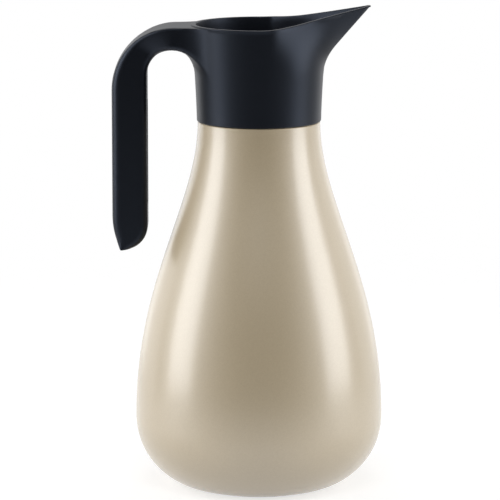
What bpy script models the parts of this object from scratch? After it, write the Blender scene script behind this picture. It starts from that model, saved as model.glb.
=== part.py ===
# Vacuum jug with a pouring collar, a hooked handle and a push-button stopper.
# Sizes are in metres, the jug stands on z = 0 and the spout points along +X.
import math

import bmesh
import bpy
import numpy as np
from mathutils import Vector

MM = 0.001

# Clearances
FIT_GAP = 0.3 * MM
SKIRT_GAP = 1.4 * MM
PLUG_GAP = 1.0 * MM
SPRING_GAP = 1.2 * MM
STROKE_SPARE = 0.6 * MM

# Steel body
STEEL_WALL = 0.8 * MM
SHOULDER_HEIGHT = 214.0 * MM
SHOULDER_REVEAL = 0.5 * MM
BELLY_RADIUS = 72.0 * MM
BELLY_HEIGHT = 41.0 * MM
BASE_RADIUS = 42.0 * MM
BASE_LIFT = 0.8 * MM
BASE_LIP = 5.0 * MM
NECK_BORE = 29.7 * MM
NECK_TUBE = 11.0 * MM
NECK_STRAIGHT = 24.0 * MM
NECK_VACUUM = 0.7 * MM
BELLY_VACUUM = 6.2 * MM
FLOOR_VACUUM = 6.0 * MM
NECK_PULL = 0.272
BELLY_PULL_UP = 0.462
BELLY_PULL_DOWN = 0.689
BASE_PULL = 0.223
LINER_FLOOR_PULL = 0.7

# Base pieces
PAD_THICKNESS = 2.6 * MM
PAD_MARGIN = 1.0 * MM
PAD_CHAMFER = 0.6 * MM
DISC_FLANGE = 4.5 * MM
PLUG_HOLE_RADIUS = 2.0 * MM
PLUG_HEAD_RADIUS = 5.0 * MM
PLUG_HEAD_HEIGHT = 1.6 * MM
GETTER_RADIUS = 6.0 * MM
GETTER_HEIGHT = 2.4 * MM
GETTER_OFFSET = 20.0 * MM

# Pouring collar
COLLAR_HEIGHT = 56.2 * MM
COLLAR_WALL = 2.6 * MM
COLLAR_FLARE = 3.2 * MM
COLLAR_FLARE_POWER = 1.35
COLLAR_FLOOR = 2.5 * MM
LIP_EDGE = 0.5 * MM
SPOUT_REACH = 64.5 * MM
SPOUT_SLOPE = 0.8
SPOUT_BLEND = 16.0 * MM
SPOUT_TIP_HALF = 4.5 * MM
SPOUT_TIP_LENGTH = 2.5 * MM
SPOUT_ROOT_ANGLE = math.radians(80.0)
SPOUT_ROOT_PULL = 6.0 * MM
SPOUT_FLANK = (0.34, 0.56)
RIM_SLOPE = 0.21
RIM_BLEND = 28.0 * MM

# Handle
HANDLE_REACH = 85.0 * MM
HANDLE_STEP = 0.7 * MM
ARM_THICKNESS = 13.2 * MM
ARM_HALF_WIDTH = 18.0 * MM
ARM_EDGE = 1.2 * MM
GRIP_THICKNESS = 20.5 * MM
GRIP_HALF_WIDTH = 12.0 * MM
GRIP_OUTER_EDGE = 5.0 * MM
GRIP_INNER_EDGE = 4.0 * MM
GRIP_LENGTH = 73.0 * MM
GRIP_END = 20.0 * MM
GRIP_END_INSET = 4.5 * MM
GRIP_TIP = 2.0 * MM
OUTER_BEND = 37.0 * MM
INNER_BEND = 14.7 * MM
ROOT_DEPTH = 29.0 * MM
ROOT_COLUMNS = 8
ROOT_ROWS = 6
ROOT_CURL = 0.45
ROOT_STATIONS = (0.25, 0.5, 0.75, 1.0)
GRIP_STATIONS = (0.35, 0.7, 1.0)
END_STATIONS = (0.25, 0.5, 0.7, 0.85, 1.0)
WIDTH_CHANGE = math.radians(45.0)
EDGE_CHANGE = math.radians(90.0)
EDGE_LIMIT = 0.9

# Handle cover
COVER_LENGTH = 60.0 * MM
COVER_HALF_WIDTH = 6.6 * MM
COVER_THICKNESS = 2.2 * MM
COVER_LEDGE = 1.6 * MM
HOLLOW_DEPTH = 13.0 * MM

# Neck pieces
GASKET_HEIGHT = 1.2 * MM
WASHER_HEIGHT = 1.0 * MM
BUSH_WALL = 3.0 * MM
BUSH_FLANGE = 2.0 * MM
BUSH_RIM = 3.8 * MM
BUSH_DEPTH = 24.0 * MM

# Stopper
STOPPER_WALL = 3.6 * MM
STOPPER_FLANGE = 2.2 * MM
STOPPER_FLANGE_INSET = 2.7 * MM
STOPPER_FLOOR = 2.6 * MM
PLUG_DEPTH = 28.0 * MM
SEAL_HEIGHT = 6.0 * MM
SEAL_DROP = 4.0 * MM
SEAL_GROOVE = 1.8 * MM
SEAL_LIP = 1.2 * MM
SEAL_LIP_COUNT = 2
TURRET_INSET = 1.4 * MM
TURRET_HEIGHT = 20.5 * MM
WINDOW_COUNT = 6
WINDOW_WIDTH = 14.0 * MM
WINDOW_HEIGHT = 8.9 * MM
WINDOW_LINTEL = 1.2 * MM
DECK_THICKNESS = 2.4 * MM
WELL_WALL = 1.8 * MM
WELL_FLOOR = 2.0 * MM
WELL_DROP = 2.5 * MM
PORT_RADIUS = 14.0 * MM
CAP_WALL = 2.0 * MM
CAP_TOP = 2.2 * MM
CAP_SKIRT = 9.5 * MM
CAP_EDGE = 1.2 * MM

# Button, spring and valve
BUTTON_RADIUS = 14.7 * MM
BUTTON_TRAVEL = 6.0 * MM
BUTTON_TOP = 2.6 * MM
BUTTON_WALL = 2.0 * MM
BUTTON_SKIRT = 4.0 * MM
BUTTON_EDGE = 1.0 * MM
BOSS_WALL = 1.5 * MM
STEM_RADIUS = 3.0 * MM
STEM_SEAL_HEIGHT = 1.7 * MM
STEM_SEAL_WALL = 3.2 * MM
SPRING_WASHER_HEIGHT = 0.8 * MM
SPRING_RADIUS = 6.4 * MM
SPRING_WIRE = 0.6 * MM
SPRING_TURNS = 7
SPRING_STEPS = 10
VALVE_RADIUS = 17.5 * MM
VALVE_THICKNESS = 2.5 * MM
VALVE_GASKET_HEIGHT = 2.4 * MM
VALVE_GASKET_LAP = 1.5 * MM
NUT_RADIUS = 6.0 * MM
NUT_HEIGHT = 2.7 * MM
STEM_END = 1.0 * MM

# Facets
SHELL_STEPS = 40
LINER_STEPS = 32
RING_STEPS = 28
SMALL_STEPS = 20
COLLAR_COLUMNS = 64
COLLAR_CROWDING = 0.6
COLLAR_INNER_ROWS = 5
SHELL_OUTER_FACETS = (13, 8)
SHELL_INNER_FACETS = (8, 5)
LINER_FACETS = (8, 6)
FLANK_FACETS = 24
TIP_FACETS = 6
CORNER_FACETS = 2
BEND_FACETS = 8
MERGE_DISTANCE = 0.01 * MM
SMOOTH_ANGLE = math.radians(40.0)

# Radii that follow from the neck bore
liner_neck_outer = NECK_BORE + STEEL_WALL
shell_neck_inner = liner_neck_outer + NECK_VACUUM
shell_neck_outer = shell_neck_inner + STEEL_WALL
skirt_inner = shell_neck_outer + SKIRT_GAP
collar_foot = skirt_inner + COLLAR_WALL
shoulder_radius = collar_foot - SHOULDER_REVEAL
bush_outer = NECK_BORE - FIT_GAP
bush_bore = bush_outer - BUSH_WALL
bush_rim = bush_outer + BUSH_RIM
plug_radius = bush_bore - PLUG_GAP
plug_inner = plug_radius - STOPPER_WALL
turret_radius = plug_radius - TURRET_INSET
stopper_rim = bush_rim - STOPPER_FLANGE_INSET
well_inner = SPRING_RADIUS + SPRING_WIRE + SPRING_GAP
stem_hole = STEM_RADIUS + FIT_GAP

# Heights, from the base up
disc_bottom = PAD_THICKNESS + FIT_GAP
disc_top = disc_bottom + STEEL_WALL
liner_floor = disc_top + FLOOR_VACUUM
neck_top = SHOULDER_HEIGHT + NECK_TUBE
liner_rim = neck_top + FIT_GAP
liner_top = liner_rim + STEEL_WALL
neck_straight_bottom = liner_top - NECK_STRAIGHT
gasket_bottom = liner_top + FIT_GAP
floor_bottom = gasket_bottom + GASKET_HEIGHT + FIT_GAP
floor_top = floor_bottom + COLLAR_FLOOR
washer_bottom = floor_top + FIT_GAP
bush_flange_bottom = washer_bottom + WASHER_HEIGHT + FIT_GAP
bush_top = bush_flange_bottom + BUSH_FLANGE
collar_bottom = SHOULDER_HEIGHT + FIT_GAP
rim_height = collar_bottom + COLLAR_HEIGHT
handle_top = rim_height - HANDLE_STEP
stopper_flange_bottom = bush_top + FIT_GAP
stopper_flange_top = stopper_flange_bottom + STOPPER_FLANGE
plug_bottom = stopper_flange_bottom - PLUG_DEPTH
turret_bottom = stopper_flange_top + FIT_GAP
window_top = turret_bottom + WINDOW_HEIGHT
deck_bottom = window_top + WINDOW_LINTEL
deck_top = deck_bottom + DECK_THICKNESS
turret_top = stopper_flange_top + TURRET_HEIGHT
cap_inside = turret_top + FIT_GAP
cap_top = cap_inside + CAP_TOP
well_bottom = stopper_flange_bottom - WELL_DROP
well_floor = well_bottom + WELL_FLOOR
stem_seal_bottom = well_floor + FIT_GAP
spring_washer_bottom = stem_seal_bottom + STEM_SEAL_HEIGHT + FIT_GAP
spring_bottom = spring_washer_bottom + SPRING_WASHER_HEIGHT + FIT_GAP
button_skirt_bottom = deck_top + BUTTON_TRAVEL + STROKE_SPARE
button_inside = button_skirt_bottom + BUTTON_SKIRT
button_top = button_inside + BUTTON_TOP
spring_top = button_inside - FIT_GAP
stem_top = spring_top - FIT_GAP
valve_gasket_top = plug_bottom - FIT_GAP
valve_gasket_bottom = valve_gasket_top - VALVE_GASKET_HEIGHT
valve_top = valve_gasket_bottom - FIT_GAP
valve_bottom = valve_top - VALVE_THICKNESS
nut_top = valve_bottom - FIT_GAP
nut_bottom = nut_top - NUT_HEIGHT
stem_bottom = nut_bottom - STEM_END

for old in list(bpy.data.objects):
    bpy.data.objects.remove(old, do_unlink=True)

jug = bpy.data.collections.new("vacuum_jug")
cutters = bpy.data.collections.new("cutters")
bpy.context.scene.collection.children.link(jug)
bpy.context.scene.collection.children.link(cutters)


def make_material(name, colour, roughness, metallic):
    material = bpy.data.materials.new(name)
    material.use_nodes = True
    shader = material.node_tree.nodes["Principled BSDF"]
    shader.inputs["Base Color"].default_value = (*colour, 1.0)
    shader.inputs["Roughness"].default_value = roughness
    shader.inputs["Metallic"].default_value = metallic
    return material


lacquer = make_material("champagne_lacquer", (0.52, 0.45, 0.34), 0.3, 0.8)
steel = make_material("stainless_steel", (0.6, 0.6, 0.6), 0.3, 1.0)
black = make_material("black_plastic", (0.012, 0.013, 0.016), 0.35, 0.0)
grey = make_material("grey_plastic", (0.05, 0.052, 0.058), 0.4, 0.0)
silicone = make_material("silicone", (0.12, 0.12, 0.12), 0.6, 0.0)
getter_alloy = make_material("getter_alloy", (0.3, 0.3, 0.31), 0.5, 1.0)


def spread(low, high, steps):
    return [low + (high - low) * i / steps for i in range(steps + 1)]


def add_object(name, mesh, material):
    obj = bpy.data.objects.new(name, mesh)
    obj.data.materials.append(material)
    jug.objects.link(obj)
    return obj


def smooth(mesh):
    mesh.shade_smooth()
    mesh.set_sharp_from_angle(angle=SMOOTH_ANGLE)


def add_cutter(name, mesh):
    obj = bpy.data.objects.new(name, mesh)
    obj.hide_render = True
    obj.display_type = "WIRE"
    cutters.objects.link(obj)
    return obj


def cut(obj, cutter):
    boolean = obj.modifiers.new(cutter.name, "BOOLEAN")
    boolean.operation = "DIFFERENCE"
    boolean.solver = "EXACT"
    boolean.object = cutter


def box_mesh(name, low, high):
    bm = bmesh.new()
    bmesh.ops.create_cube(bm, size=1.0)
    centre = (Vector(low) + Vector(high)) / 2.0
    bmesh.ops.scale(bm, vec=Vector(high) - Vector(low), verts=bm.verts)
    bmesh.ops.translate(bm, vec=centre, verts=bm.verts)
    mesh = bpy.data.meshes.new(name)
    bm.to_mesh(mesh)
    bm.free()
    return mesh


def lathe(name, profile, material, steps):
    # A profile that starts on the axis is open, any other is a closed loop.
    count = len(profile)
    edges = [(i, i + 1) for i in range(count - 1)]
    if profile[0][0] > 0.0:
        edges.append((count - 1, 0))
    mesh = bpy.data.meshes.new(name)
    mesh.from_pydata([(r, 0.0, z) for r, z in profile], edges, [])
    obj = add_object(name, mesh, material)
    screw = obj.modifiers.new("turn", "SCREW")
    screw.axis = "Z"
    screw.angle = math.tau
    screw.steps = steps
    screw.render_steps = steps
    screw.use_merge_vertices = True
    screw.merge_threshold = MERGE_DISTANCE
    return obj


def ring(name, inner, outer, bottom, top, material, steps):
    profile = [(outer, top), (outer, bottom), (inner, bottom), (inner, top)]
    return lathe(name, profile, material, steps)


def bezier(p0, p1, p2, p3, steps):
    points = []
    for i in range(steps + 1):
        t = i / steps
        u = 1.0 - t
        weights = (u**3, 3.0 * u * u * t, 3.0 * u * t * t, t**3)
        points.append(tuple(sum(w * p[k] for w, p in zip(weights, (p0, p1, p2, p3))) for k in (0, 1)))
    return points


def pear_curve(neck, neck_height, belly, base, base_height, base_pull, facets):
    # Runs from the neck down over the belly to the base.
    rise = neck_height - BELLY_HEIGHT
    drop = BELLY_HEIGHT - base_height
    upper = bezier(
        (neck, neck_height),
        (neck, neck_height - NECK_PULL * rise),
        (belly, BELLY_HEIGHT + BELLY_PULL_UP * rise),
        (belly, BELLY_HEIGHT),
        facets[0],
    )
    lower = bezier(
        (belly, BELLY_HEIGHT),
        (belly, BELLY_HEIGHT - BELLY_PULL_DOWN * drop),
        (base + base_pull * (belly - base), base_height),
        (base, base_height),
        facets[1],
    )
    return upper + lower[1:]


# Outer shell with its neck tube and rolled base lip
outer_curve = pear_curve(
    shoulder_radius, SHOULDER_HEIGHT, BELLY_RADIUS, BASE_RADIUS, BASE_LIFT, BASE_PULL, SHELL_OUTER_FACETS
)
inner_curve = pear_curve(
    shoulder_radius - STEEL_WALL,
    SHOULDER_HEIGHT - STEEL_WALL,
    BELLY_RADIUS - STEEL_WALL,
    BASE_RADIUS + STEEL_WALL,
    BASE_LIFT + STEEL_WALL,
    BASE_PULL,
    SHELL_INNER_FACETS,
)
shell_profile = [(shell_neck_outer, neck_top), (shell_neck_outer, SHOULDER_HEIGHT)]
shell_profile += outer_curve
shell_profile += [(BASE_RADIUS, BASE_LIFT + BASE_LIP), (BASE_RADIUS + STEEL_WALL, BASE_LIFT + BASE_LIP)]
shell_profile += inner_curve[::-1]
shell_profile += [(shell_neck_inner, SHOULDER_HEIGHT - STEEL_WALL), (shell_neck_inner, neck_top)]
lathe("outer_shell", shell_profile, lacquer, SHELL_STEPS)

# Inner liner, open at the rim
liner_belly = BELLY_RADIUS - STEEL_WALL - BELLY_VACUUM
liner_outer = pear_curve(
    liner_neck_outer, neck_straight_bottom, liner_belly, 0.0, liner_floor, LINER_FLOOR_PULL, LINER_FACETS
)
liner_inner = pear_curve(
    NECK_BORE,
    neck_straight_bottom,
    liner_belly - STEEL_WALL,
    0.0,
    liner_floor + STEEL_WALL,
    LINER_FLOOR_PULL,
    LINER_FACETS,
)
liner_profile = liner_inner[::-1]
liner_profile += [(NECK_BORE, liner_top), (shell_neck_outer, liner_top)]
liner_profile += [(shell_neck_outer, liner_rim), (liner_neck_outer, liner_rim)]
liner_profile += liner_outer
lathe("inner_liner", liner_profile, steel, LINER_STEPS)

# Base disc, plug, getter and pad
disc_radius = BASE_RADIUS - FIT_GAP
disc_profile = [
    (PLUG_HOLE_RADIUS, disc_top),
    (disc_radius - STEEL_WALL, disc_top),
    (disc_radius - STEEL_WALL, disc_top + DISC_FLANGE),
    (disc_radius, disc_top + DISC_FLANGE),
    (disc_radius, disc_bottom),
    (PLUG_HOLE_RADIUS, disc_bottom),
]
lathe("base_disc", disc_profile, steel, SHELL_STEPS)

plug_head = disc_top + FIT_GAP
plug_profile = [
    (0.0, plug_head + PLUG_HEAD_HEIGHT),
    (PLUG_HEAD_RADIUS, plug_head + PLUG_HEAD_HEIGHT),
    (PLUG_HEAD_RADIUS, plug_head),
    (PLUG_HOLE_RADIUS - FIT_GAP, plug_head),
    (PLUG_HOLE_RADIUS - FIT_GAP, disc_bottom),
    (0.0, disc_bottom),
]
lathe("vacuum_plug", plug_profile, steel, SMALL_STEPS)

getter_profile = [(0.0, GETTER_HEIGHT), (GETTER_RADIUS, GETTER_HEIGHT), (GETTER_RADIUS, 0.0), (0.0, 0.0)]
getter = lathe("getter_capsule", getter_profile, getter_alloy, SMALL_STEPS)
getter.location = (GETTER_OFFSET, 0.0, disc_top + FIT_GAP)

pad_radius = disc_radius - PAD_MARGIN
pad_profile = [
    (0.0, PAD_THICKNESS),
    (pad_radius - PAD_CHAMFER, PAD_THICKNESS),
    (pad_radius, PAD_THICKNESS - PAD_CHAMFER),
    (pad_radius, PAD_CHAMFER),
    (pad_radius - PAD_CHAMFER, 0.0),
    (0.0, 0.0),
]
lathe("base_pad", pad_profile, silicone, SHELL_STEPS)


# Pouring collar
def cone_radius(z):
    share = max(0.0, (z - collar_bottom) / COLLAR_HEIGHT)
    return collar_foot + COLLAR_FLARE * share**COLLAR_FLARE_POWER


def rim_rise(x):
    if x <= 0.0:
        return 0.0
    if x < RIM_BLEND:
        return RIM_SLOPE * x * x / (2.0 * RIM_BLEND)
    return RIM_SLOPE * (x - RIM_BLEND / 2.0)


tip_height = rim_height + rim_rise(SPOUT_REACH)
spout_root = tip_height - (SPOUT_REACH - cone_radius(tip_height)) / SPOUT_SLOPE - SPOUT_BLEND / 2.0


def spout_bulge(z):
    climb = max(0.0, z - spout_root)
    if climb < SPOUT_BLEND:
        return SPOUT_SLOPE * climb * climb / (2.0 * SPOUT_BLEND)
    return SPOUT_SLOPE * (climb - SPOUT_BLEND / 2.0)


rim_radius = cone_radius(rim_height)
root_point = (rim_radius * math.cos(SPOUT_ROOT_ANGLE), rim_radius * math.sin(SPOUT_ROOT_ANGLE))
flank_start = (
    root_point[0] + SPOUT_ROOT_PULL * math.sin(SPOUT_ROOT_ANGLE),
    root_point[1] - SPOUT_ROOT_PULL * math.cos(SPOUT_ROOT_ANGLE),
)
flank_middle = (SPOUT_FLANK[0] * SPOUT_REACH, SPOUT_FLANK[1] * rim_radius)
flank_end = (SPOUT_REACH - SPOUT_TIP_LENGTH, SPOUT_TIP_HALF)
tip_round = [
    (flank_end[0] + SPOUT_TIP_LENGTH * math.cos(a), SPOUT_TIP_HALF * math.sin(a))
    for a in spread(0.0, math.pi / 2.0, TIP_FACETS)
]
rim_plan = tip_round[:-1] + bezier(root_point, flank_start, flank_middle, flank_end, FLANK_FACETS)[::-1]
plan_angles = [math.atan2(y, x) for x, y in rim_plan]
plan_radii = [math.hypot(x, y) for x, y in rim_plan]


def rim_reach(angle):
    if abs(angle) >= SPOUT_ROOT_ANGLE:
        return rim_radius
    return float(np.interp(abs(angle), plan_angles, plan_radii))


turns = [math.tau * j / COLLAR_COLUMNS - math.pi for j in range(COLLAR_COLUMNS)]
angles = [u - COLLAR_CROWDING * math.sin(u) for u in turns]
reaches = [rim_reach(a) for a in angles]
rims = [rim_height + rim_rise(r * math.cos(a)) for a, r in zip(angles, reaches)]


def outer_ring(share):
    points = []
    for angle, reach, rim in zip(angles, reaches, rims):
        z = collar_bottom + share * (rim - collar_bottom)
        radius = cone_radius(z)
        if spout_bulge(z) > 0.0:
            radius += (reach - cone_radius(rim)) * spout_bulge(z) / spout_bulge(rim)
        points.append(Vector((radius * math.cos(angle), radius * math.sin(angle), z)))
    return points


def shrunk_ring(points, inset, drop=0.0):
    # Moves a ring inwards along its own plan normals.
    moved = []
    for j, point in enumerate(points):
        along = points[(j + 1) % len(points)] - points[j - 1]
        inward = Vector((-along.y, along.x, 0.0)).normalized()
        moved.append(point + inset * inward - Vector((0.0, 0.0, drop)))
    return moved


def round_ring(radius, z):
    return [Vector((radius * math.cos(a), radius * math.sin(a), z)) for a in angles]


def share_of(z):
    return (z - collar_bottom) / COLLAR_HEIGHT


handle_share = share_of(handle_top)
root_share = share_of(handle_top - ROOT_DEPTH)
outer_shares = spread(root_share, handle_share, ROOT_ROWS)
inner_shares = spread(share_of(floor_top), handle_share, COLLAR_INNER_ROWS)[:0:-1]
rim_ring = outer_ring(1.0)
collar_rings = [outer_ring(0.0), outer_ring(root_share / 2.0)]
low_row = len(collar_rings)
collar_rings += [outer_ring(s) for s in outer_shares]
collar_rings += [shrunk_ring(rim_ring, 0.0, LIP_EDGE), shrunk_ring(rim_ring, LIP_EDGE)]
collar_rings += [shrunk_ring(rim_ring, COLLAR_WALL - LIP_EDGE), shrunk_ring(rim_ring, COLLAR_WALL, LIP_EDGE)]
collar_rings += [shrunk_ring(outer_ring(s), COLLAR_WALL) for s in inner_shares]
collar_rings += [round_ring(cone_radius(floor_top) - COLLAR_WALL, floor_top)]
collar_rings += [round_ring(NECK_BORE, floor_top), round_ring(NECK_BORE, floor_bottom)]
collar_rings += [round_ring(skirt_inner, floor_bottom), round_ring(skirt_inner, collar_bottom)]


def extrude_loop(bm, loop, places):
    # Pulls a loop of vertices out to the given places and returns the new loop.
    pairs = list(zip(loop, loop[1:] + loop[:1]))
    edges = [bm.edges.get(pair) for pair in pairs]
    made = bmesh.ops.extrude_edge_only(bm, edges=edges)
    fresh = {item for item in made["geom"] if isinstance(item, bmesh.types.BMVert)}
    new_loop = []
    for vert, place in zip(loop, places):
        partner = next(e.other_vert(vert) for e in vert.link_edges if e.other_vert(vert) in fresh)
        partner.co = place
        new_loop.append(partner)
    return new_loop


bm = bmesh.new()
first = bmesh.ops.create_circle(bm, segments=COLLAR_COLUMNS, radius=collar_foot)["verts"]
for vert, place in zip(first, collar_rings[0]):
    vert.co = place
loops = [first]
for places in collar_rings[1:]:
    loops.append(extrude_loop(bm, loops[-1], places))
closing = []
for loop in (loops[-1], loops[0]):
    closing += [bm.edges.get(pair) for pair in zip(loop, loop[1:] + loop[:1])]
bmesh.ops.bridge_loops(bm, edges=closing)

# The handle grows out of a window in the back of the collar.
high_row = low_row + ROOT_ROWS
half_columns = ROOT_COLUMNS // 2
columns = [k % COLLAR_COLUMNS for k in range(half_columns, -half_columns - 1, -1)]
window = []
for row in range(low_row, high_row):
    for left, right in zip(columns, columns[1:]):
        corners = {loops[row][left], loops[row][right], loops[row + 1][left], loops[row + 1][right]}
        window += [f for f in loops[row][left].link_faces if set(f.verts) == corners]
bmesh.ops.delete(bm, geom=window, context="FACES")
top_side = [loops[high_row][k] for k in columns]
far_side = [loops[row][columns[-1]] for row in range(high_row - 1, low_row, -1)]
under_side = [loops[low_row][k] for k in columns[::-1]]
near_side = [loops[row][columns[0]] for row in range(low_row + 1, high_row)]
root_loop = top_side + far_side + under_side + near_side


def grip_section(outer, inner, half_width, outer_edge, inner_edge):
    # A rounded rectangle between the outer and inner line of the handle, as a loop that matches the window.
    outer = Vector((outer[0], 0.0, outer[1]))
    inner = Vector((inner[0], 0.0, inner[1]))
    middle = (outer + inner) / 2.0
    up = (outer - inner) / 2.0
    height = up.length
    up.normalize()
    side = Vector((0.0, 1.0, 0.0))
    limit = EDGE_LIMIT * min(height, half_width)
    outer_edge = min(outer_edge, limit)
    inner_edge = min(inner_edge, limit)

    def corner(sign, level, edge):
        centre = middle + sign * side * (half_width - edge) + level * up * (height - edge)
        turns = spread(0.0, math.pi / 2.0, 2 * CORNER_FACETS)
        return [centre + edge * (sign * side * math.sin(a) + level * up * math.cos(a)) for a in turns]

    high_near = corner(-1.0, 1.0, outer_edge)
    high_far = corner(1.0, 1.0, outer_edge)
    low_near = corner(-1.0, -1.0, inner_edge)
    low_far = corner(1.0, -1.0, inner_edge)
    sides = [
        (high_near[CORNER_FACETS::-1] + high_far[: CORNER_FACETS + 1], ROOT_COLUMNS),
        (high_far[CORNER_FACETS:] + low_far[: CORNER_FACETS - 1 : -1], ROOT_ROWS),
        (low_far[CORNER_FACETS::-1] + low_near[: CORNER_FACETS + 1], ROOT_COLUMNS),
        (low_near[CORNER_FACETS:] + high_near[: CORNER_FACETS - 1 : -1], ROOT_ROWS),
    ]
    points = []
    for line, count in sides:
        steps = [0.0]
        for a, b in zip(line, line[1:]):
            steps.append(steps[-1] + (b - a).length)
        for i in range(count):
            place = steps[-1] * i / count
            points.append(Vector([float(np.interp(place, steps, [p[k] for p in line])) for k in range(3)]))
    return points


def eased(t):
    t = min(1.0, max(0.0, t))
    return t * t * (3.0 - 2.0 * t)


arm_bottom = handle_top - ARM_THICKNESS
grip_inner = HANDLE_REACH - GRIP_THICKNESS
outer_centre = (OUTER_BEND - HANDLE_REACH, handle_top - OUTER_BEND)
inner_centre = (INNER_BEND - grip_inner, arm_bottom - INNER_BEND)
grip_bottom = outer_centre[1] - GRIP_LENGTH
end_height = grip_bottom - GRIP_END
end_width = GRIP_THICKNESS - GRIP_END_INSET - GRIP_TIP
inner_end = end_height + end_width


def bend_station(turn):
    outer = (outer_centre[0] - OUTER_BEND * math.sin(turn), outer_centre[1] + OUTER_BEND * math.cos(turn))
    inner = (inner_centre[0] - INNER_BEND * math.sin(turn), inner_centre[1] + INNER_BEND * math.cos(turn))
    half_width = ARM_HALF_WIDTH + eased(turn / WIDTH_CHANGE) * (GRIP_HALF_WIDTH - ARM_HALF_WIDTH)
    outer_edge = ARM_EDGE + eased(turn / EDGE_CHANGE) * (GRIP_OUTER_EDGE - ARM_EDGE)
    inner_edge = ARM_EDGE + eased(turn / EDGE_CHANGE) * (GRIP_INNER_EDGE - ARM_EDGE)
    return grip_section(outer, inner, half_width, outer_edge, inner_edge)


def grip_station(share):
    outer = (-HANDLE_REACH, outer_centre[1] - share * GRIP_LENGTH)
    inner = (-grip_inner, inner_centre[1] + share * (inner_end - inner_centre[1]))
    return grip_section(outer, inner, GRIP_HALF_WIDTH, GRIP_OUTER_EDGE, GRIP_INNER_EDGE)


def end_station(share):
    turn = share * math.pi / 2.0
    outer = (
        -HANDLE_REACH + GRIP_END_INSET * share * share,
        grip_bottom - share * GRIP_END,
    )
    inner = (-grip_inner - end_width * (1.0 - math.cos(turn)), inner_end - end_width * math.sin(turn))
    return grip_section(outer, inner, GRIP_HALF_WIDTH, GRIP_OUTER_EDGE, GRIP_INNER_EDGE)


# Each thread of the blend leaves the collar along its wall and arrives along the arm.
arm_section = bend_station(0.0)
leaving = []
upwards = Vector((0.0, 0.0, 1.0))
lower_start = ROOT_COLUMNS + ROOT_ROWS
for index, vert in enumerate(root_loop):
    place = vert.co
    around = Vector((-abs(place.y), place.x * math.copysign(1.0, place.y), 0.0)).normalized()
    if index <= ROOT_COLUMNS:
        way = Vector((-1.0, 0.0, 0.0))
    elif lower_start <= index <= lower_start + ROOT_COLUMNS:
        way = upwards + around * abs(index - lower_start - half_columns) / half_columns
    else:
        way = around + upwards * (handle_top - place.z) / ROOT_DEPTH
    leaving.append(way.normalized())
starts = [vert.co.copy() for vert in root_loop]
stations = []
for t in ROOT_STATIONS:
    places = []
    for start, goal, out in zip(starts, arm_section, leaving):
        pull = ROOT_CURL * (goal - start).length
        near = start + pull * out
        far = goal + Vector((pull, 0.0, 0.0))
        u = 1.0 - t
        places.append(u**3 * start + 3.0 * u * u * t * near + 3.0 * u * t * t * far + t**3 * goal)
    stations.append(places)
stations += [bend_station(a) for a in spread(0.0, math.pi / 2.0, BEND_FACETS)[1:]]
stations += [grip_station(s) for s in GRIP_STATIONS]
stations += [end_station(s) for s in END_STATIONS]
loop = root_loop
for places in stations:
    loop = extrude_loop(bm, loop, places)
bmesh.ops.contextual_create(bm, geom=loop)
bmesh.ops.recalc_face_normals(bm, faces=bm.faces)
collar_mesh = bpy.data.meshes.new("pour_collar")
bm.to_mesh(collar_mesh)
bm.free()
smooth(collar_mesh)
collar = add_object("pour_collar", collar_mesh, black)

# Hollow in the finger side of the grip, and the cover that closes it
cover_middle = outer_centre[1] - GRIP_LENGTH / 2.0
cover_face = -grip_inner - FIT_GAP
cover_back = cover_face - COVER_THICKNESS
ledge_half = COVER_HALF_WIDTH + FIT_GAP
ledge_end = COVER_LENGTH / 2.0 + FIT_GAP
hollow_half = ledge_half - COVER_LEDGE
hollow_end = ledge_end - COVER_LEDGE
ledge_cutter = add_cutter("cover_seat", box_mesh(
    "cover_seat",
    (cover_back - FIT_GAP, -ledge_half, cover_middle - ledge_end),
    (-grip_inner + COVER_THICKNESS, ledge_half, cover_middle + ledge_end),
))
hollow_cutter = add_cutter("grip_hollow", box_mesh(
    "grip_hollow",
    (-grip_inner - HOLLOW_DEPTH, -hollow_half, cover_middle - hollow_end),
    (cover_face, hollow_half, cover_middle + hollow_end),
))
cut(collar, ledge_cutter)
cut(collar, hollow_cutter)
add_object("handle_cover", box_mesh(
    "handle_cover",
    (cover_back, -COVER_HALF_WIDTH, cover_middle - COVER_LENGTH / 2.0),
    (cover_face, COVER_HALF_WIDTH, cover_middle + COVER_LENGTH / 2.0),
), grey)

# Rings that hold the collar on the neck
ring("collar_gasket", NECK_BORE + FIT_GAP, shell_neck_outer, gasket_bottom,
     gasket_bottom + GASKET_HEIGHT, silicone, RING_STEPS)
ring("bush_washer", bush_outer + FIT_GAP, bush_rim - FIT_GAP, washer_bottom,
     washer_bottom + WASHER_HEIGHT, silicone, RING_STEPS)
bush_profile = [
    (bush_rim, bush_top),
    (bush_rim, bush_flange_bottom),
    (bush_outer, bush_flange_bottom),
    (bush_outer, bush_flange_bottom - BUSH_DEPTH),
    (bush_bore, bush_flange_bottom - BUSH_DEPTH),
    (bush_bore, bush_top),
]
lathe("neck_bush", bush_profile, grey, RING_STEPS)

# Stopper body: plug and flange
seal_top = stopper_flange_bottom - SEAL_DROP
seal_bottom = seal_top - SEAL_HEIGHT
groove_radius = plug_radius - SEAL_GROOVE
well_outer = well_inner + WELL_WALL
stopper_profile = [
    (stopper_rim, stopper_flange_top),
    (stopper_rim, stopper_flange_bottom),
    (plug_radius, stopper_flange_bottom),
    (plug_radius, seal_top),
    (groove_radius, seal_top),
    (groove_radius, seal_bottom),
    (plug_radius, seal_bottom),
    (plug_radius, plug_bottom),
    (PORT_RADIUS, plug_bottom),
    (PORT_RADIUS, plug_bottom + STOPPER_FLOOR),
    (plug_inner, plug_bottom + STOPPER_FLOOR),
    (plug_inner, stopper_flange_top),
]
lathe("stopper_body", stopper_profile, black, RING_STEPS)

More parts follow.
